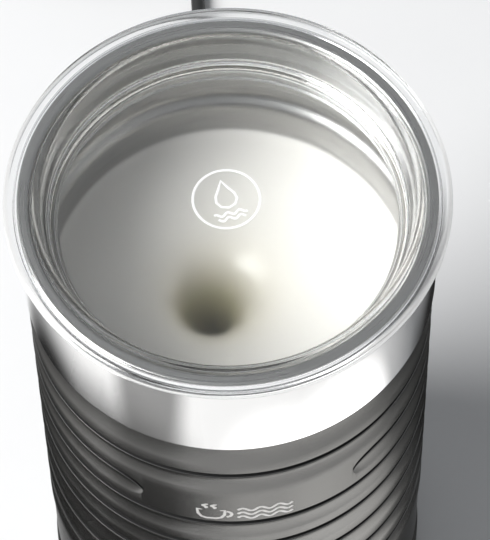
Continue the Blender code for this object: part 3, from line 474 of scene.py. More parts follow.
# A flat two-pin plug, narrow where the lead enters, with finger ribs on its upper face
def makePlug():
    sections = [(0.0, plug["neck"], 9.0), (5.0, 11.0, 10.2), (11.0, 17.5, 12.0), (17.0, 23.5, 13.2),
                (24.0, plug["width"], plug["height"]), (plug["length"], plug["width"], plug["height"])]
    bm = bmesh.new()
    loop = None
    for along, width, height in sections:
        corner = min(width, height) * 0.3
        points = []
        for sy, sz, first in ((1, 1, 0), (-1, 1, 90), (-1, -1, 180), (1, -1, 270)):
            for i in range(7):
                angle = radians(first + 15 * i)
                points.append((plug["back"] - along,
                               plug["y"] + sy * (width / 2 - corner) + corner * cos(angle),
                               plug["z"] + sz * (height / 2 - corner) + corner * sin(angle)))
        verts = [bm.verts.new(Vector(p) * mm) for p in points]
        edges = [bm.edges.new(pair) for pair in zip(verts, verts[1:] + verts[:1])]
        if loop:
            bmesh.ops.bridge_loops(bm, edges=loop + edges)
        else:
            bmesh.ops.contextual_create(bm, geom=edges)
        loop = edges
    bmesh.ops.contextual_create(bm, geom=loop)
    front = [f for f in bm.faces
             if abs(f.normal.x) > 0.9 and f.calc_center_median().x < (plug["back"] - 30) * mm]
    rims = [e for f in front for e in f.edges]
    bmesh.ops.bevel(bm, geom=rims, offset=1.2 * mm, affect="EDGES", segments=4, profile=0.5, material=-1)
    body = addPiece("plug_moulding", bm, softRubber, "base", ["plug_body"], sharp=50)
    ribs = []
    for i in range(4):
        bm = bmesh.new()
        bmesh.ops.create_cube(bm, size=1.0)
        bmesh.ops.scale(bm, vec=Vector((1.1, 15.0, 0.6)) * mm, verts=bm.verts)
        bmesh.ops.bevel(bm, geom=bm.edges[:], offset=0.25 * mm, affect="EDGES", segments=2, profile=0.5,
                        material=-1)
        bmesh.ops.translate(bm, vec=Vector((plug["back"] - 20.5 - 2.6 * i, plug["y"],
                                            plug["z"] + plug["height"] / 2 - 0.12)) * mm, verts=bm.verts)
        ribs.append(addPiece(f"plug_rib_{i + 1}", bm, softRubber, "base"))
    pins = []
    pinBack = plug["back"] - plug["length"] - 0.3
    for i, side in enumerate((-1, 1), 1):
        pinY = plug["y"] + side * plug["pinPitch"] / 2
        outline = [(0, 0), (1.9, 0, 0.2), (1.9, plug["sleeve"], 0.2),
                   (plug["pinRadius"], plug["sleeve"] + 0.3), (plug["pinRadius"], plug["pinLength"], 1.2),
                   (0, plug["pinLength"])]
        pin = lathe(f"plug_pin_turned_{i}", outline, [nickel, blackPlastic], "base", "brass",
                    [f"plug_pin_{i}"], steps=32, turn=Matrix.Rotation(-pi / 2, 4, "Y"),
                    at=(pinBack, pinY, plug["z"]))
        for face in pin.data.polygons:
            _, y, z = face.center
            onSide = hypot(y - pinY * mm, z - plug["z"] * mm) > 1.0 * mm
            if onSide and face.center.x > (pinBack - plug["sleeve"]) * mm:
                face.material_index = 1
        pins.append(pin)
    return [body, *ribs, *pins]


tie = {"width": 7.0, "thick": 0.5, "reachIn": 17.1, "reachOut": 28.8, "low": 0.15, "high": 12.2, "bands": 6,
       "square": 0.7}


# A flat woven tape wrapped round the coil's bundle, squarer than a circle
def makeTie():
    cx, cy, _ = lead["coilMiddle"]
    bm = bmesh.new()
    middleY = cy - (tie["reachIn"] + tie["reachOut"]) / 2
    halfY, halfZ = (tie["reachOut"] - tie["reachIn"]) / 2, (tie["high"] - tie["low"]) / 2
    middleZ = (tie["high"] + tie["low"]) / 2
    verts = []
    for i in range(40):
        angle = 2 * pi * i / 40
        c, s = cos(angle), sin(angle)
        y = middleY + halfY * abs(c) ** tie["square"] * (1 if c > 0 else -1)
        z = middleZ + halfZ * abs(s) ** tie["square"] * (1 if s > 0 else -1)
        verts.append(bm.verts.new(Vector((cx - tie["width"] / 2, y, z)) * mm))
    edges = [bm.edges.new(pair) for pair in zip(verts, verts[1:] + verts[:1])]
    for _ in range(tie["bands"]):
        grown = bmesh.ops.extrude_edge_only(bm, edges=edges)["geom"]
        edges = [g for g in grown if isinstance(g, bmesh.types.BMEdge)
                 and all(v in grown for v in g.verts)]
        bmesh.ops.translate(bm, vec=(tie["width"] / tie["bands"] * mm, 0, 0),
                            verts=[g for g in grown if isinstance(g, bmesh.types.BMVert)])
    bmesh.ops.remove_doubles(bm, verts=bm.verts, dist=0.002 * mm)
    bmesh.ops.recalc_face_normals(bm, faces=bm.faces)
    bmesh.ops.solidify(bm, geom=bm.faces[:], thickness=tie["thick"] * mm)
    return addPiece("coil_tie", bm, wovenTape, "base", ["cord_tie"], sharp=50)


leadPiece, leadLength = makeLead()
leadPieces = [makeRelief(), *makePlug(), makeTie()]
print("mains lead,", round(leadLength, 3), "m")


# power base
base = {"radius": 49.0, "wall": 2.2, "low": 1.5, "top": 22.0, "shelf": 20.4, "floorLow": 2.8, "floorTop": 5.0,
        "recess": 0.6, "hub": 16.5, "hubTop": 31.0, "flange": 22.5, "flangeTop": 17.9}


def makeBase():
    r, low, top, shelf, hub = (base[size] for size in ("radius", "low", "top", "shelf", "hub"))
    inner, under = r - base["wall"], shelf - base["wall"]
    lathe("base_shell", [
        (r - 0.6, low, 0.4), (r, low + 1.2, 0.5), (r, top - 3.4, 2.2), (r - 3.4, top, 2.2),
        (r - 15.4, top, 0.5), (r - 17.6, shelf, 0.6), (hub + 0.8, shelf, 0.3), (hub + 0.8, under),
        (r - 6.2, under), (inner, under - 2.4), (inner, low, 0.3),
    ], graphite, "base", "graphite_plastic", ["base_housing"], steps=160)
    floorLow, floorTop = base["floorLow"], base["floorTop"]
    sunk = floorLow + base["recess"]
    lathe("base_floor", [
        (0, floorTop), (inner - 0.3, floorTop, 0.2), (inner - 0.3, floorLow, 0.3),
        (inner - 2.4, floorLow, 0.2), (inner - 2.9, sunk, 0.2), (33.0, sunk, 0.2), (32.5, floorLow, 0.2),
        (14.0, floorLow, 0.2), (13.5, sunk, 0.2), (0, sunk),
    ], blackPlastic, "base", "black_plastic", ["base_plate"])
    high, flange, flangeTop = base["hubTop"], base["flange"], base["flangeTop"]
    lathe("socket_hub_turned", [
        (0, flangeTop - 2), (flange, flangeTop - 2, 0.2), (flange, flangeTop, 0.2), (hub, flangeTop),
        (hub, high, 1.0), (9.0, high, 0.3), (9.0, high - 5), (6.5, high - 5), (6.5, high, 0.3),
        (3.0, high, 0.4), (3.0, flangeTop + 1), (0, flangeTop + 1),
    ], blackPlastic, "base", "black_plastic", ["socket_hub"], steps=96)


# jug, below the sleeve
foot = {"radius": 48.6, "wall": 2.7, "low": 22.6, "high": 48.8, "opening": 9.75, "coverLow": 25.0,
        "coverTop": 27.5, "coverIn": 19.9, "coverOut": 45.6, "recess": 0.7}
connector = {"inner": 17.3, "outer": 19.5, "flange": 23.0, "low": 23.2, "top": 34.8, "pinHole": 1.9}


# The plain band under the sleeve, with a round opening for the button
def makeFootRing():
    r, low, high = foot["radius"], foot["low"], foot["high"]
    inner = r - foot["wall"]
    bm = latheMesh([(r - 1.5, low, 0.4), (r, low + 1.5, 0.8), (r, high, 0.3), (inner, high), (inner, low)],
                   160)
    cutter = latheMesh([(0, 40), (foot["opening"], 40), (foot["opening"], 52), (0, 52)], 64)
    bmesh.ops.rotate(cutter, matrix=Matrix.Rotation(pi / 2, 3, "X"), verts=cutter.verts)
    bmesh.ops.translate(cutter, vec=(0, 0, button["z"] * mm), verts=cutter.verts)
    showMesh("foot_band", cutMesh(bm, cutter), graphite, "jug", ["foot_ring"])
    coverLow, coverTop, sunk = foot["coverLow"], foot["coverTop"], foot["coverLow"] + foot["recess"]
    lathe("jug_underside", [
        (foot["coverIn"], coverLow, 0.3), (24.0, coverLow, 0.3), (24.5, sunk, 0.2), (38.0, sunk, 0.2),
        (38.5, coverLow, 0.3), (foot["coverOut"], coverLow, 0.3), (foot["coverOut"], coverTop),
        (foot["coverIn"], coverTop),
    ], blackPlastic, "jug", "black_plastic", ["jug_bottom_cover"])
    outer, flange, top = connector["outer"], connector["flange"], connector["top"]
    lathe("connector_turned", [
        (connector["pinHole"], top), (outer, top), (outer, top - 4.7), (flange, top - 4.7),
        (flange, top - 6.7), (outer, top - 6.7), (outer, connector["low"], 0.5),
        (connector["inner"], connector["low"], 0.5), (connector["inner"], top - 3.2),
        (connector["pinHole"], top - 3.2),
    ], blackPlastic, "connector", "black_plastic", ["jug_connector"], steps=96)


button = {"z": 38.15, "radius": 5.8, "face": 49.4, "rimIn": 6.4, "rimOut": 7.7, "lightIn": 8.0,
          "lightOut": 9.1, "deep": 5.0, "signRadius": 2.0, "signLine": 0.24}


def makeButton():
    forward = {"turn": Matrix.Rotation(pi / 2, 4, "X"), "at": (0, 0, button["z"]), "steps": 64}
    face = button["face"]
    back, glow = face - button["deep"], face - 0.9
    lathe("button_rim", [
        (button["rimIn"], back, 0.1), (button["rimIn"], face, 0.35), (button["rimOut"], face, 0.45),
        (button["rimOut"], back, 0.1),
    ], mirrorSteel, "jug", "polished_steel", ["button_bezel"], **forward)
    lathe("light_ring", [
        (button["lightIn"], back), (button["lightIn"], glow, 0.2), (button["lightOut"], glow, 0.2),
        (button["lightOut"], back),
    ], diffuser, "jug", "light_diffuser", ["light_pipe"], **forward)
    r = button["radius"]
    lathe("button_cap", [
        (0, face - 0.45), (2.4, face - 0.4), (4.2, face - 0.12), (r, face, 0.5), (r, face - 4.6, 0.2),
        (1.8, face - 4.6), (1.8, face - 9.0), (0, face - 9.0),
    ], blackPlastic, "button", "black_plastic", ["start_button"], **forward)
    openRing = arcPoints(0, 0, button["signRadius"], 122, 418, 24)
    mesh = strokeMesh([(openRing, False), ([(0, 0.6), (0, 2.5)], False)], button["signLine"])
    for vertex in mesh.vertices:
        x, z, off = vertex.co
        vertex.co = (x, -(face - 0.42) * mm - off * 0.5, z + button["z"] * mm)
    showMesh("button_sign", mesh, paleInk, "button")


# ribbed sleeve
sleeve = {
    "radius": 49.0, "wall": 2.7, "low": 49.1, "high": 152.6, "topEdge": 0.25, "lowEdge": 0.4,
    "firstSlot": 139.5, "pitch": 12.87, "ribs": 7, "land": 3.1,
    "slotHigh": 1.9, "slotDeep": 1.9, "slotFall": 0.1, "edge": 0.12, "lip": 0.1, "lipEdge": 0.08,
    "floorDeep": 0.6, "floorRows": 8, "dip": 2.2, "dipStart": 0.4, "dipSpeed": 3.0,
    "panelRib": 1, "tip": 31.3, "endLong": 8.5, "endLow": 4.5, "endSlot": 0.75,
    "shadeRows": 4, "shadeEnd": 0.07,
    "bridges": [(2, -65.1), (3, -44.6), (3, -37.7), (4, 58.0), (2, 97.0), (5, -88.0)],
    "bridgeWide": 0.8, "bridgeLong": 1.5, "bridgeSunk": 1.6,
}
rowsInSlot = 5
mmPerDegree = pi * sleeve["radius"] / 180
endZone = sleeve["endLong"] / mmPerDegree


def slotTop(rib):
    return sleeve["firstSlot"] - rib * sleeve["pitch"]


# The sleeve's outline from the top down, each row with its rib and its place in it
def ribRows():
    r, deep, count = sleeve["radius"], sleeve["floorDeep"], sleeve["floorRows"]
    inner, dip = r - sleeve["wall"], sleeve["dip"]
    floorTop, floorLow = sleeve["high"] - sleeve["topEdge"], sleeve["firstSlot"] + sleeve["land"]
    rows = [(inner, sleeve["high"], -1, 0), (r - deep - sleeve["topEdge"], sleeve["high"], -1, 1),
            (r - deep, floorTop, -1, 2)]
    for i in range(1, count + 1):
        t = i / count
        rows.append((r - deep * (1 - t ** dip), floorTop + (floorLow - floorTop) * t, -1, 2 + i))
    for rib in range(sleeve["ribs"]):
        z = slotTop(rib)
        slotLow = z - sleeve["slotHigh"]
        lipLow = slotLow - sleeve["lipEdge"]
        floorLow = z - sleeve["pitch"] + sleeve["land"]
        rows += [(r, z + sleeve["edge"], rib, 0), (r - sleeve["edge"], z, rib, 1),
                 (r - sleeve["slotDeep"], z - sleeve["slotFall"], rib, 2),
                 (r - sleeve["slotDeep"], slotLow, rib, 3),
                 (r - sleeve["lip"] - sleeve["lipEdge"], slotLow, rib, 4),
                 (r - sleeve["lip"], lipLow, rib, rowsInSlot)]
        for i in range(1, count + 1):
            t = i / count
            sink = deep * (1 - t ** dip) * min(1, sleeve["dipStart"] + sleeve["dipSpeed"] * t)
            rows.append((r - sink, lipLow + (floorLow - lipLow) * t, rib, rowsInSlot + i))
    rows += [(r, sleeve["low"] + sleeve["lowEdge"], 99, 0), (r - sleeve["lowEdge"], sleeve["low"], 99, 1),
             (inner, sleeve["low"], 99, 2)]
    return rows


# The outline spun round, with closer columns at the panel and at the channels' ends
def spinSleeve():
    tip = sleeve["tip"]
    bm = bmesh.new()
    ribLayer = bm.verts.layers.int.new("rib")
    rowLayer = bm.verts.layers.int.new("row")
    first = radians(-90 + tip + endZone)
    points = []
    for r, z, rib, row in ribRows():
        vertex = bm.verts.new((r * cos(first) * mm, r * sin(first) * mm, z * mm))
        vertex[ribLayer], vertex[rowLayer] = rib, row
        points.append(vertex)
    profile = points + [bm.edges.new(pair) for pair in zip(points, points[1:] + points[:1])]
    for arc, steps in ((360 - 2 * (tip + endZone), 150), (endZone, 10), (2 * tip, 44), (endZone, 10)):
        profile = bmesh.ops.spin(bm, geom=profile, axis=(0, 0, 1), cent=(0, 0, 0), angle=radians(arc),
                                 steps=steps)["geom_last"]
    bmesh.ops.remove_doubles(bm, verts=bm.verts, dist=0.002 * mm)
    return bm


# The height of a row in the channel, a given way from its tip
def channelHeight(row, reach):
    top = slotTop(sleeve["panelRib"])
    low = top - sleeve["pitch"] + sleeve["land"]
    middle, half = (top + low) / 2, (top - low) / 2
    high = middle + half * sqrt(max(0, 1 - (1 - min(1, reach / sleeve["endLong"])) ** 2))
    under = middle - half * sqrt(max(0, 1 - (1 - min(1, reach / sleeve["endLow"])) ** 2))
    tall = high - under
    slot = min(sleeve["slotHigh"], tall * sleeve["endSlot"])
    if row == 0:
        return high + sleeve["edge"] * min(1, tall)
    if row <= 2:
        return high - sleeve["slotFall"] * (row - 1) * min(1, tall)
    if row < rowsInSlot:
        return high - slot
    lipLow = high - slot - sleeve["lipEdge"] * min(1, tall)
    return lipLow + (under - lipLow) * (row - rowsInSlot) / sleeve["floorRows"]


# Closes one rib into a smooth panel at the front, with a round-ended channel on each side of it
def shapePanel(bm):
    ribLayer, rowLayer = bm.verts.layers.int["rib"], bm.verts.layers.int["row"]
    tip, outside = sleeve["tip"], sleeve["radius"] * mm
    top = slotTop(sleeve["panelRib"]) + sleeve["edge"]
    low = slotTop(sleeve["panelRib"]) - sleeve["pitch"] + sleeve["land"]
    for vertex in bm.verts:
        x, y, _ = vertex.co
        front = degrees(atan2(x, -y))
        along = (abs(front) - tip) / endZone
        if 0 <= along <= 1.0001:  # columns bunch up towards the tip, so that its curve is round
            front = (1 if front > 0 else -1) * (tip + endZone * (1 - cos(pi / 2 * min(along, 1))))
            radius = hypot(x, y)
            vertex.co.x, vertex.co.y = radius * sin(radians(front)), -radius * cos(radians(front))
        if vertex[ribLayer] != sleeve["panelRib"] or along > 1.0001:
            continue
        row = vertex[rowLayer]
        if along < 0.0001:  # the panel itself, which the channels stop at
            share = row / (rowsInSlot + sleeve["floorRows"])
            vertex.co = (outside * sin(radians(front)), -outside * cos(radians(front)),
                         (top - (top - low) * share) * mm)
        else:
            vertex.co.z = channelHeight(row, (abs(front) - tip) * mmPerDegree) * mm


# Slot walls and the channels' end walls get a near-black material: painted shade in the deep slots and at the
# channels' rounded ends
def paintSlotShade(bm):
    ribLayer, rowLayer = bm.verts.layers.int["rib"], bm.verts.layers.int["row"]
    tip = sleeve["tip"]
    for face in bm.faces:
        ribs = {v[ribLayer] for v in face.verts}
        rib = min(ribs)
        if len(ribs) > 1 or not 0 <= rib < sleeve["ribs"]:
            continue
        middle = face.calc_center_median()
        angle = abs(degrees(atan2(middle.x, -middle.y)))
        inSlot = all(1 <= v[rowLayer] <= sleeve["shadeRows"] for v in face.verts)
        onPanelRib = rib == sleeve["panelRib"]
        atEnd = onPanelRib and tip < angle < tip + endZone * sleeve["shadeEnd"]
        if atEnd or inSlot and not (onPanelRib and angle < tip):
            face.material_index = 1


# Short bridges that hold the slots open
def addBridges(bm):
    for rib, angle in sleeve["bridges"]:
        made = bmesh.ops.create_cube(bm, size=1.0)["verts"]
        size = Vector((sleeve["bridgeWide"], sleeve["bridgeLong"], sleeve["slotHigh"] - 0.3))
        bmesh.ops.scale(bm, vec=size * mm, verts=made)
        bmesh.ops.translate(bm, vec=(0, -(sleeve["radius"] - sleeve["bridgeSunk"]) * mm,
                                     (slotTop(rib) - sleeve["slotHigh"] / 2) * mm), verts=made)
        bmesh.ops.rotate(bm, matrix=Matrix.Rotation(radians(angle), 3, "Z"), verts=made)


def makeSleeve():
    bm = spinSleeve()
    shapePanel(bm)
    paintSlotShade(bm)
    addBridges(bm)
    addPiece("ribbed_sleeve", bm, [graphite, slotPaintedShade], "jug", ["sleeve"], sharp=28)
    makePanelSign()


sign = {"middle": -2.0, "z": 118.6, "line": 0.42, "proud": 0.05}


# A plain cup with steam and three waves of foam, printed on the panel
def makePanelSign():
    cup = [(-3.4, 1.2), (-3.2, -1.2), (-2.4, -2.7), (-1.2, -3.2), (1.2, -3.2), (2.4, -2.7), (3.2, -1.2),
           (3.4, 1.2)]
    handle = arcPoints(3.5, -0.7, 1.5, -80, 80, 10)
    strokes = [([(x - 8, y) for x, y in cup], True), ([(x - 8, y) for x, y in handle], False)]
    for offset in (-1.5, 0.6):
        strokes.append(([(offset - 8 + 0.5 * sin(t * pi / 3), 2.2 + t * 0.28) for t in range(9)], False))
    for row in range(3):
        wave = [(-1.5 + 0.45 * t, 1.6 - 2.1 * row + 0.75 * sin(t * pi / 5)) for t in range(31)]
        strokes.append((wave, False))
    mesh = strokeMesh(strokes, sign["line"])
    for vertex in mesh.vertices:
        x, y, off = vertex.co
        angle = x / (sleeve["radius"] * mm) + radians(sign["middle"])
        radius = sleeve["radius"] * mm + off * sign["proud"] / sign["line"] + 0.02 * mm
        vertex.co = (radius * sin(angle), -radius * cos(angle), y + sign["z"] * mm)
    showMesh("panel_sign", mesh, paleInk, "jug", sharp=60)


# collar, vessel and whisk
collar = {"radius": 49.4, "wall": 1.0, "low": 152.9, "high": 183.7}


def makeCollar():
    r, inner, low, high = collar["radius"], collar["radius"] - collar["wall"], collar["low"], collar["high"]
    lathe("steel_collar", [(r, high, 0.5), (r, low, 0.45), (inner, low), (inner, high)], mirrorSteel, "jug",
          "polished_steel", ["collar"], steps=192, segments=5)


vessel = {"radius": 43.9, "neck": 46.4, "lip": 49.2, "floor": 78.0, "step": 154.0, "high": 184.8, "wall": 0.8,
          "pin": 2.0, "pinTop": 91.0}


def makeVessel():
    r, neck, lip, wall = (vessel[size] for size in ("radius", "neck", "lip", "wall"))
    floor, step, high, under = vessel["floor"], vessel["step"], vessel["high"], vessel["high"] - wall
    lathe("steel_vessel", [
        (0, floor), (r - 6, floor, 1.5), (r - 2.4, floor + 1.6, 3.0), (r, floor + 6, 3.0), (r, step, 1.2),
        (r + 0.6, step + 0.9, 0.5), (neck - 0.5, step + 2.2, 0.6), (neck, step + 3.2, 0.6),
        (neck, high, 0.9), (lip, high, 0.35), (lip, under), (neck + wall, under), (neck + wall, step + 2.2),
        (r + wall, step - 0.4), (r + wall, floor + 6, 3.0), (r - 1.5, floor + 0.7, 3.0),
        (r - 6, floor - wall), (0, floor - wall),
    ], satinSteel, "jug", "satin_steel", ["vessel"], steps=160, segments=5)
    pin, pinTop = vessel["pin"], vessel["pinTop"]
    lathe("whisk_pin", [
        (0, pinTop), (pin, pinTop, 0.9), (pin, floor + 1.2, 0.3), (4.8, floor + 0.9, 0.2), (4.8, floor + 0.3),
        (0, floor + 0.3),
    ], satinSteel, "jug", "satin_steel", ["whisk_post"], steps=40)


whisk = {"hub": 4.2, "top": 93.0, "disc": 12.9, "discTop": 83.0, "low": 80.0, "bore": 2.6, "turns": 84,
         "perTurn": 10, "ring": 15.6, "coil": 1.65, "wire": 0.34, "ringZ": 82.0}


def makeWhisk():
    hub, top, disc, low = whisk["hub"], whisk["top"], whisk["disc"], whisk["low"]
    discTop, bore = whisk["discTop"], whisk["bore"]
    lathe("whisk_body", [
        (0, top), (hub, top, 1.0), (hub, discTop, 0.8), (disc, discTop, 0.5), (disc, low, 0.3),
        (disc - 1.6, low), (disc - 1.6, discTop - 0.9), (hub + 2, discTop - 0.9), (hub + 2, low),
        (bore, low, 0.3), (bore, top - 1.4), (0, top - 1.4),
    ], blackPlastic, "whisk", "black_plastic", ["whisk_hub"], steps=64)
    curve = bpy.data.curves.new("whisk_coil", "CURVE")
    curve.dimensions = "3D"
    curve.bevel_depth = whisk["wire"] * mm
    curve.bevel_resolution = 1
    spline = curve.splines.new("POLY")
    count = whisk["turns"] * whisk["perTurn"]
    spline.points.add(count - 1)
    for i, point in enumerate(spline.points):
        along, wind = 2 * pi * i / count, 2 * pi * i / whisk["perTurn"]
        reach = whisk["ring"] + whisk["coil"] * cos(wind)
        point.co = (reach * cos(along) * mm, reach * sin(along) * mm,
                    (whisk["ringZ"] + whisk["coil"] * sin(wind)) * mm, 1)
    spline.use_cyclic_u = True
    piece = bpy.data.objects.new("whisk_coil", curve)
    bpy.context.collection.objects.link(piece)
    curve.materials.append(wireSteel)
    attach(piece, "whisk")
    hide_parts("whisk_spring")


# lid
lid = {"reach": 52.5, "top": 187.1, "rimLow": 183.3, "disc": 176.9, "thick": 1.6, "skirt": 44.6,
       "skirtLow": 169.9, "skirtWall": 3.0, "grooveHigh": 174.7, "grooveLow": 171.7, "grooveDeep": 1.2}
seal = {"inner": 43.7, "body": 45.0, "tip": 45.9, "high": 174.4, "low": 172.0}


def makeLid():
    reach, top, rimLow, disc = lid["reach"], lid["top"], lid["rimLow"], lid["disc"]
    skirt, inner = lid["skirt"], lid["skirt"] - lid["skirtWall"]
    groove, under = skirt - lid["grooveDeep"], disc - lid["thick"]
    lathe("lid_shell", [
        (0, disc), (skirt - 4.2, disc, 0.5), (skirt - 2.6, disc + 1, 0.6), (skirt - 0.5, top - 1.5, 0.7),
        (skirt + 0.7, top - 0.4, 0.6), (reach - 2.7, top, 0.5), (reach - 0.9, top - 0.1, 1.0),
        (reach, top - 1.2, 0.9), (reach - 0.4, rimLow + 0.6, 0.5), (reach - 1.3, rimLow, 0.4),
        (reach - 2.6, rimLow, 0.3), (reach - 2.6, rimLow + 1.8, 0.4), (skirt + 1.3, rimLow + 1.8, 0.4),
        (skirt, disc, 0.3), (skirt, lid["grooveHigh"], 0.2), (groove, lid["grooveHigh"], 0.15),
        (groove, lid["grooveLow"], 0.15), (skirt, lid["grooveLow"], 0.2), (skirt, lid["skirtLow"], 0.4),
        (inner, lid["skirtLow"], 0.5), (inner, under, 0.6), (0, under),
    ], clearPlastic, "lid", "clear_plastic", ["lid"], steps=192, segments=5, sharp=60)
    inside, body, point, high, low = (seal[size] for size in ("inner", "body", "tip", "high", "low"))
    lathe("seal_ring", [
        (inside, high, 0.2), (point - 1, high, 0.15), (point, high - 0.45, 0.15), (body, high - 0.9, 0.1),
        (body, low + 0.9, 0.1), (point, low + 0.45, 0.15), (point - 1, low, 0.15), (inside, low, 0.2),
    ], clearSilicone, "lid", "clear_silicone", ["lid_seal"], steps=160)
    makeLidMark()


lidMark = {"at": (0.0, 4.6), "turn": 10.0, "size": 1.2, "radius": 6.6, "line": 0.26, "z": 176.9}


# A small moulded sign: a ring with a drop in it and two waves under the drop
def makeLidMark():
    rightSide = [(0.9, 2.6), (1.9, 1.0), (2.1, -0.3), (1.4, -1.5)]
    drop = [(0.0, 4.3), *rightSide, (0.0, -2.0), *[(-x, y) for x, y in reversed(rightSide)]]
    strokes = [(arcPoints(0, 0, lidMark["radius"], 0, 350, 35), True), (drop, True)]
    for row in range(2):
        wave = [(-3.6 + 0.3 * t, -3.3 - 1.1 * row + 0.35 * sin(t * pi / 4)) for t in range(25)
                if abs(-3.6 + 0.3 * t) < 3.4 - 0.6 * row]
        strokes.append((wave, False))
    mesh = strokeMesh(strokes, lidMark["line"])
    turn = Matrix.Rotation(radians(lidMark["turn"]), 3, "Z")
    for vertex in mesh.vertices:
        x, y, off = vertex.co
        x, y, _ = turn @ Vector((x, y, 0)) * lidMark["size"]
        vertex.co = (x + lidMark["at"][0] * mm, y + lidMark["at"][1] * mm,
                     (lidMark["z"] + 0.13) * mm + off * 0.35)
    showMesh("lid_mark", mesh, frostedMark, "lid", sharp=60)


makeBase()
makeFootRing()
makeButton()
print("base and foot made")
makeSleeve()
print("sleeve made")
makeCollar()
makeVessel()
makeWhisk()
makeLid()
print("collar, vessel, whisk and lid made")

for node, material in carried.items():
    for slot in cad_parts[node].material_slots:
        slot.material = material


# milk, floor and light
milk = {"level": 143.8, "bowl": 43.7, "funnel": 27.0, "wide": 5.6, "steep": 2.3, "lean": 3.3, "sway": 10.0,
        "forward": 2.6}


# Milk whose colour darkens with depth into the whisk's funnel: painted shade
def milkPaintedShade():
    made = bpy.data.materials.new("milk")
    made.use_nodes = True
    tree = made.node_tree
    shader = tree.nodes["Principled BSDF"]
    shader.inputs["Roughness"].default_value = 0.3
    parts = tree.nodes.new("ShaderNodeSeparateXYZ")
    place = tree.nodes.new("ShaderNodeTexCoord")
    tree.links.new(place.outputs["Object"], parts.inputs[0])
    depth = mathNode(tree, "DIVIDE", mathNode(tree, "SUBTRACT", milk["level"] * mm, parts.outputs[2]),
                     milk["funnel"] * mm)
    shadeRamp = tree.nodes.new("ShaderNodeValToRGB")
    tree.links.new(depth, shadeRamp.inputs[0])
    # painted shade: from milk white at the surface to dark olive and near black deep in the funnel
    paintedShadeStops = [(0.0, (0.71, 0.692, 0.66)), (0.12, (0.64, 0.61, 0.54)), (0.45, (0.36, 0.33, 0.21)),
             (0.9, (0.13, 0.115, 0.06)), (1.0, (0.01, 0.01, 0.008))]
    for i, (position, colour) in enumerate(paintedShadeStops):
        stop = shadeRamp.color_ramp.elements[i] if i < 2 else shadeRamp.color_ramp.elements.new(position)
        stop.position = position
        stop.color = (*colour, 1)
    tree.links.new(shadeRamp.outputs[0], shader.inputs["Base Color"])
    return made


# Milk being whisked, a prop in the jug: its surface dips round the axis as the whisk turns
def makeMilk():
    outline = [(0, milk["level"] - milk["funnel"])]
    for i in range(1, 61):
        r = milk["bowl"] * (i / 60) ** 1.3
        outline.append((r, milk["level"] - milk["funnel"] / (1 + (r / milk["wide"]) ** milk["steep"])
                        + 0.5 * max(0, (r - 41.5) / 2.2) ** 2))
    outline += [(milk["bowl"], milk["level"] - 30), (0, milk["level"] - 30)]
    bm = latheMesh(outline, 128)
    for vertex in bm.verts:  # the funnel leans a little to one side
        sunk = min(1, (milk["level"] * mm - vertex.co.z) / (milk["funnel"] * mm))
        inward = 1 - (hypot(vertex.co.x, vertex.co.y) / ((milk["bowl"] - 1) * mm)) ** 2
        if sunk > 0 and inward > 0:
            vertex.co.x -= (milk["lean"] * sunk + milk["sway"] * sqrt(sunk) * (1 - sunk)) * inward * mm
            vertex.co.y -= milk["forward"] * sqrt(sunk) * inward * mm
    surface = addPiece("milk", bm, milkPaintedShade(), None, sharp=60)
    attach(surface, "jug")


makeMilk()

studio = {
    "floor": (0.86, 0.86, 0.86), "world": (0.93, 0.96, 1.0), "worldLight": 0.25, "worldSeen": 0.5,
    "keyAngle": 192.0, "keyHeight": 41.0, "keyFar": 2.2, "keySize": 1.6, "keyPower": 74.0,
}


def makeStudio():
    bm = bmesh.new()
    bmesh.ops.create_grid(bm, x_segments=1, y_segments=1, size=6.0)
    floor = finish("floor", moulded, studio["floor"], 0.7, patches=0.02, scale=60.0, relief=0.02 * mm)
    mesh = bpy.data.meshes.new("floor")
    bm.to_mesh(mesh)
    bm.free()
    ground = bpy.data.objects.new("floor", mesh)
    bpy.context.collection.objects.link(ground)
    mesh.materials.append(floor)

    world = bpy.data.worlds.new("studio")
    bpy.context.scene.world = world
    world.use_nodes = True
    tree = world.node_tree
    background = tree.nodes["Background"]
    background.inputs["Color"].default_value = (*studio["world"], 1)
    rays = tree.nodes.new("ShaderNodeLightPath")
    strength = tree.nodes.new("ShaderNodeMapRange")
    tree.links.new(rays.outputs["Is Diffuse Ray"], strength.inputs["Value"])
    strength.inputs["To Min"].default_value = studio["worldSeen"]
    strength.inputs["To Max"].default_value = studio["worldLight"]
    tree.links.new(strength.outputs[0], background.inputs["Strength"])

    lamp = bpy.data.lights.new("key", "AREA")
    lamp.shape, lamp.size, lamp.energy = "DISK", studio["keySize"], studio["keyPower"]
    key = bpy.data.objects.new("key", lamp)
    bpy.context.collection.objects.link(key)
    angle, height = radians(studio["keyAngle"]), radians(studio["keyHeight"])
    away = Vector((cos(angle) * cos(height), sin(angle) * cos(height), sin(height)))
    key.matrix_world = Matrix.Translation(Vector((0, 0, 0.1)) + away * studio["keyFar"]) \
        @ away.to_track_quat("Z", "Y").to_matrix().to_4x4()


cards = {
    "left": {"at": (-92, 14), "long": 160, "wide": 88, "angle": 84.0, "light": 0.02, "cover": 1.0},
    "leftFront": {"at": (-74, -60), "long": 150, "wide": 84, "angle": -50.0, "light": 0.02, "cover": 1.0},
    "band": {"at": (-99, -101), "long": 112, "wide": 84, "angle": -45.0, "light": 0.1, "cover": 0.75},
    "front": {"at": (24, -101), "long": 120, "wide": 74, "angle": 13.0, "light": 1.9, "cover": 1.0},
    "rightFront": {"at": (76, -70), "long": 130, "wide": 74, "angle": 47.0, "light": 2.6, "cover": 1.0},
    "right": {"at": (78, 52), "long": 130, "wide": 74, "angle": 118.0, "light": 0.02, "cover": 1.0},
}


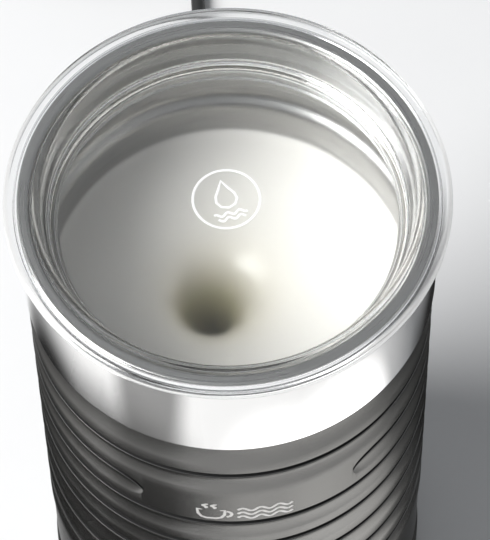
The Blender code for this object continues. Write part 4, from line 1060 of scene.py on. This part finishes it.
# A soft-edged studio card beside the jug that only reflections see
def makeCard(name, card, height):
    bm = bmesh.new()
    bmesh.ops.create_grid(bm, x_segments=1, y_segments=1, size=0.5)
    bmesh.ops.scale(bm, vec=Vector((card["long"], card["wide"], 1)) * mm, verts=bm.verts)
    mesh = bpy.data.meshes.new(name)
    bm.to_mesh(mesh)
    bm.free()
    piece = bpy.data.objects.new(name, mesh)
    bpy.context.collection.objects.link(piece)
    piece.location = (card["at"][0] * mm, card["at"][1] * mm, height * mm)
    piece.rotation_euler.z = radians(card["angle"])
    piece.visible_camera = piece.visible_diffuse = piece.visible_shadow = False
    piece.visible_transmission = card["light"] < 0.05
    made = bpy.data.materials.new(name)
    made.use_nodes = True
    tree = made.node_tree
    tree.nodes.remove(tree.nodes["Principled BSDF"])
    place = tree.nodes.new("ShaderNodeTexCoord")
    shape = tree.nodes.new("ShaderNodeMapping")
    shape.inputs["Scale"].default_value = (2 / (card["long"] * mm), 2 / (card["wide"] * mm), 0)
    tree.links.new(place.outputs["Object"], shape.inputs["Vector"])
    reach = tree.nodes.new("ShaderNodeVectorMath")
    reach.operation = "LENGTH"
    tree.links.new(shape.outputs[0], reach.inputs[0])
    fade = tree.nodes.new("ShaderNodeMapRange")
    fade.interpolation_type = "SMOOTHSTEP"
    fade.inputs["From Min"].default_value = 0.45
    fade.inputs["From Max"].default_value = 1.0
    fade.inputs["To Min"].default_value = card["cover"]
    fade.inputs["To Max"].default_value = 0.0
    tree.links.new(reach.outputs["Value"], fade.inputs["Value"])
    glow = tree.nodes.new("ShaderNodeEmission")
    glow.inputs["Color"].default_value = (card["light"], card["light"], card["light"], 1)
    clear = tree.nodes.new("ShaderNodeBsdfTransparent")
    either = tree.nodes.new("ShaderNodeMixShader")
    tree.links.new(fade.outputs[0], either.inputs[0])
    tree.links.new(clear.outputs[0], either.inputs[1])
    tree.links.new(glow.outputs[0], either.inputs[2])
    tree.links.new(either.outputs[0], tree.nodes["Material Output"].inputs["Surface"])
    mesh.materials.append(made)


makeStudio()
for i, (name, card) in enumerate(cards.items()):
    makeCard(f"{name}_card", card, 1 + 0.2 * i)
print("studio made")
